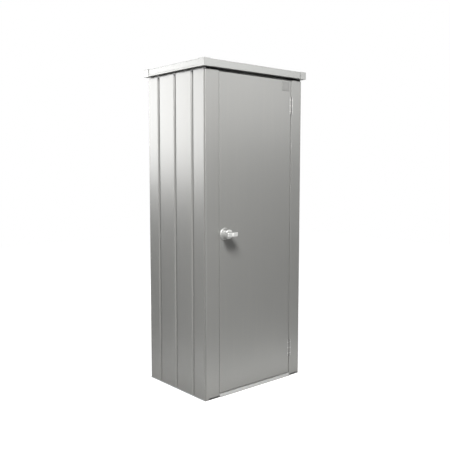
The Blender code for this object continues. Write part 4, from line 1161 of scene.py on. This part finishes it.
def seen_mask(tree):
    """1 for rays from the camera, from a glossy surface or through glass."""
    rays = tree.nodes.new("ShaderNodeLightPath")
    either = maths(tree, "MAXIMUM", rays.outputs["Is Camera Ray"], rays.outputs["Is Glossy Ray"])
    return maths(tree, "MAXIMUM", either, rays.outputs["Is Transmission Ray"])


def studio_world(fill):
    """White where it is seen, and a plain soft level where it lights."""
    world = bpy.data.worlds.new("studio")
    world.use_nodes = True
    tree = world.node_tree
    back = tree.nodes["Background"]
    back.inputs["Color"].default_value = (1, 1, 1, 1)
    join(tree, remap(tree, seen_mask(tree), 0.0, 1.0, fill, SEEN), back.inputs["Strength"])
    return world


def floor_material():
    """A pale floor. Where it is seen it adds its own white, so that only the object's shadow shows on it.
    It adds none under the cabinet, where no light gets in."""
    made, tree, shader, place = start_material("pale_floor", metallic=0.0, roughness=FLOOR_ROUGHNESS)
    shader.inputs["Base Color"].default_value = (*FLOOR_ALBEDO, 1)
    shader.inputs["Specular IOR Level"].default_value = 0.0
    shader.inputs["Emission Color"].default_value = (1, 1, 1, 1)
    split = axes(tree, place)
    across = maths(tree, "DIVIDE", maths(tree, "ABSOLUTE", split["X"]), FOOT_HIGH.x)
    along = maths(tree, "DIVIDE", maths(tree, "ABSOLUTE", split["Y"]), FOOT_HIGH.y)
    outside = maths(tree, "GREATER_THAN", maths(tree, "MAXIMUM", across, along), 1.0)
    away = vector_sum(tree, "LENGTH", place).outputs["Value"]
    level = remap(tree, away, *FLOOR_REACH, FLOOR_NEAR, FLOOR_FAR)
    rays = tree.nodes.new("ShaderNodeLightPath")
    direct = maths(tree, "MULTIPLY", rays.outputs["Is Camera Ray"], level)
    seen = maths(tree, "MAXIMUM", direct, maths(tree, "MULTIPLY", seen_mask(tree), FLOOR_SEEN))
    join(tree, maths(tree, "MULTIPLY", seen, outside), shader.inputs["Emission Strength"])
    return made


# Sidebar and registration


class CABINET_PT_sidebar(bpy.types.Panel):
    """Lists the cabinet's operators and settings"""

    bl_idname = "CABINET_PT_sidebar"
    bl_label = "Outdoor storage cabinet"
    bl_space_type = "VIEW_3D"
    bl_region_type = "UI"
    bl_category = "Cabinet"

    def draw(self, context):
        for operator in OPERATORS:
            self.layout.operator(operator.bl_idname)
        for group in ("cabinet_finish", "cabinet_small_parts", "cabinet_stage"):
            box = self.layout.box()
            settings = getattr(context.scene, group)
            for name in settings.__annotations__:
                box.prop(settings, name)


OPERATORS = (CABINET_OT_sheet_metal, CABINET_OT_roof, CABINET_OT_zinc_frame, CABINET_OT_sill,
             CABINET_OT_hinges, CABINET_OT_handle, CABINET_OT_plate, CABINET_OT_lock_gear,
             CABINET_OT_shelf_screws, CABINET_OT_seals, CABINET_OT_stage)
CLASSES = (CabinetFinish, CabinetSmallParts, CabinetStage, *OPERATORS, CABINET_PT_sidebar)


def register():
    for item in CLASSES:
        bpy.utils.register_class(item)
    bpy.types.Scene.cabinet_finish = PointerProperty(type=CabinetFinish)
    bpy.types.Scene.cabinet_small_parts = PointerProperty(type=CabinetSmallParts)
    bpy.types.Scene.cabinet_stage = PointerProperty(type=CabinetStage)


def unregister():
    for name in ("cabinet_finish", "cabinet_small_parts", "cabinet_stage"):
        delattr(bpy.types.Scene, name)
    for item in reversed(CLASSES):
        bpy.utils.unregister_class(item)


def main():
    register()
    for operator in OPERATORS:
        family, name = operator.bl_idname.split(".")
        getattr(getattr(bpy.ops, family), name)()


if __name__ == "__main__":
    main()
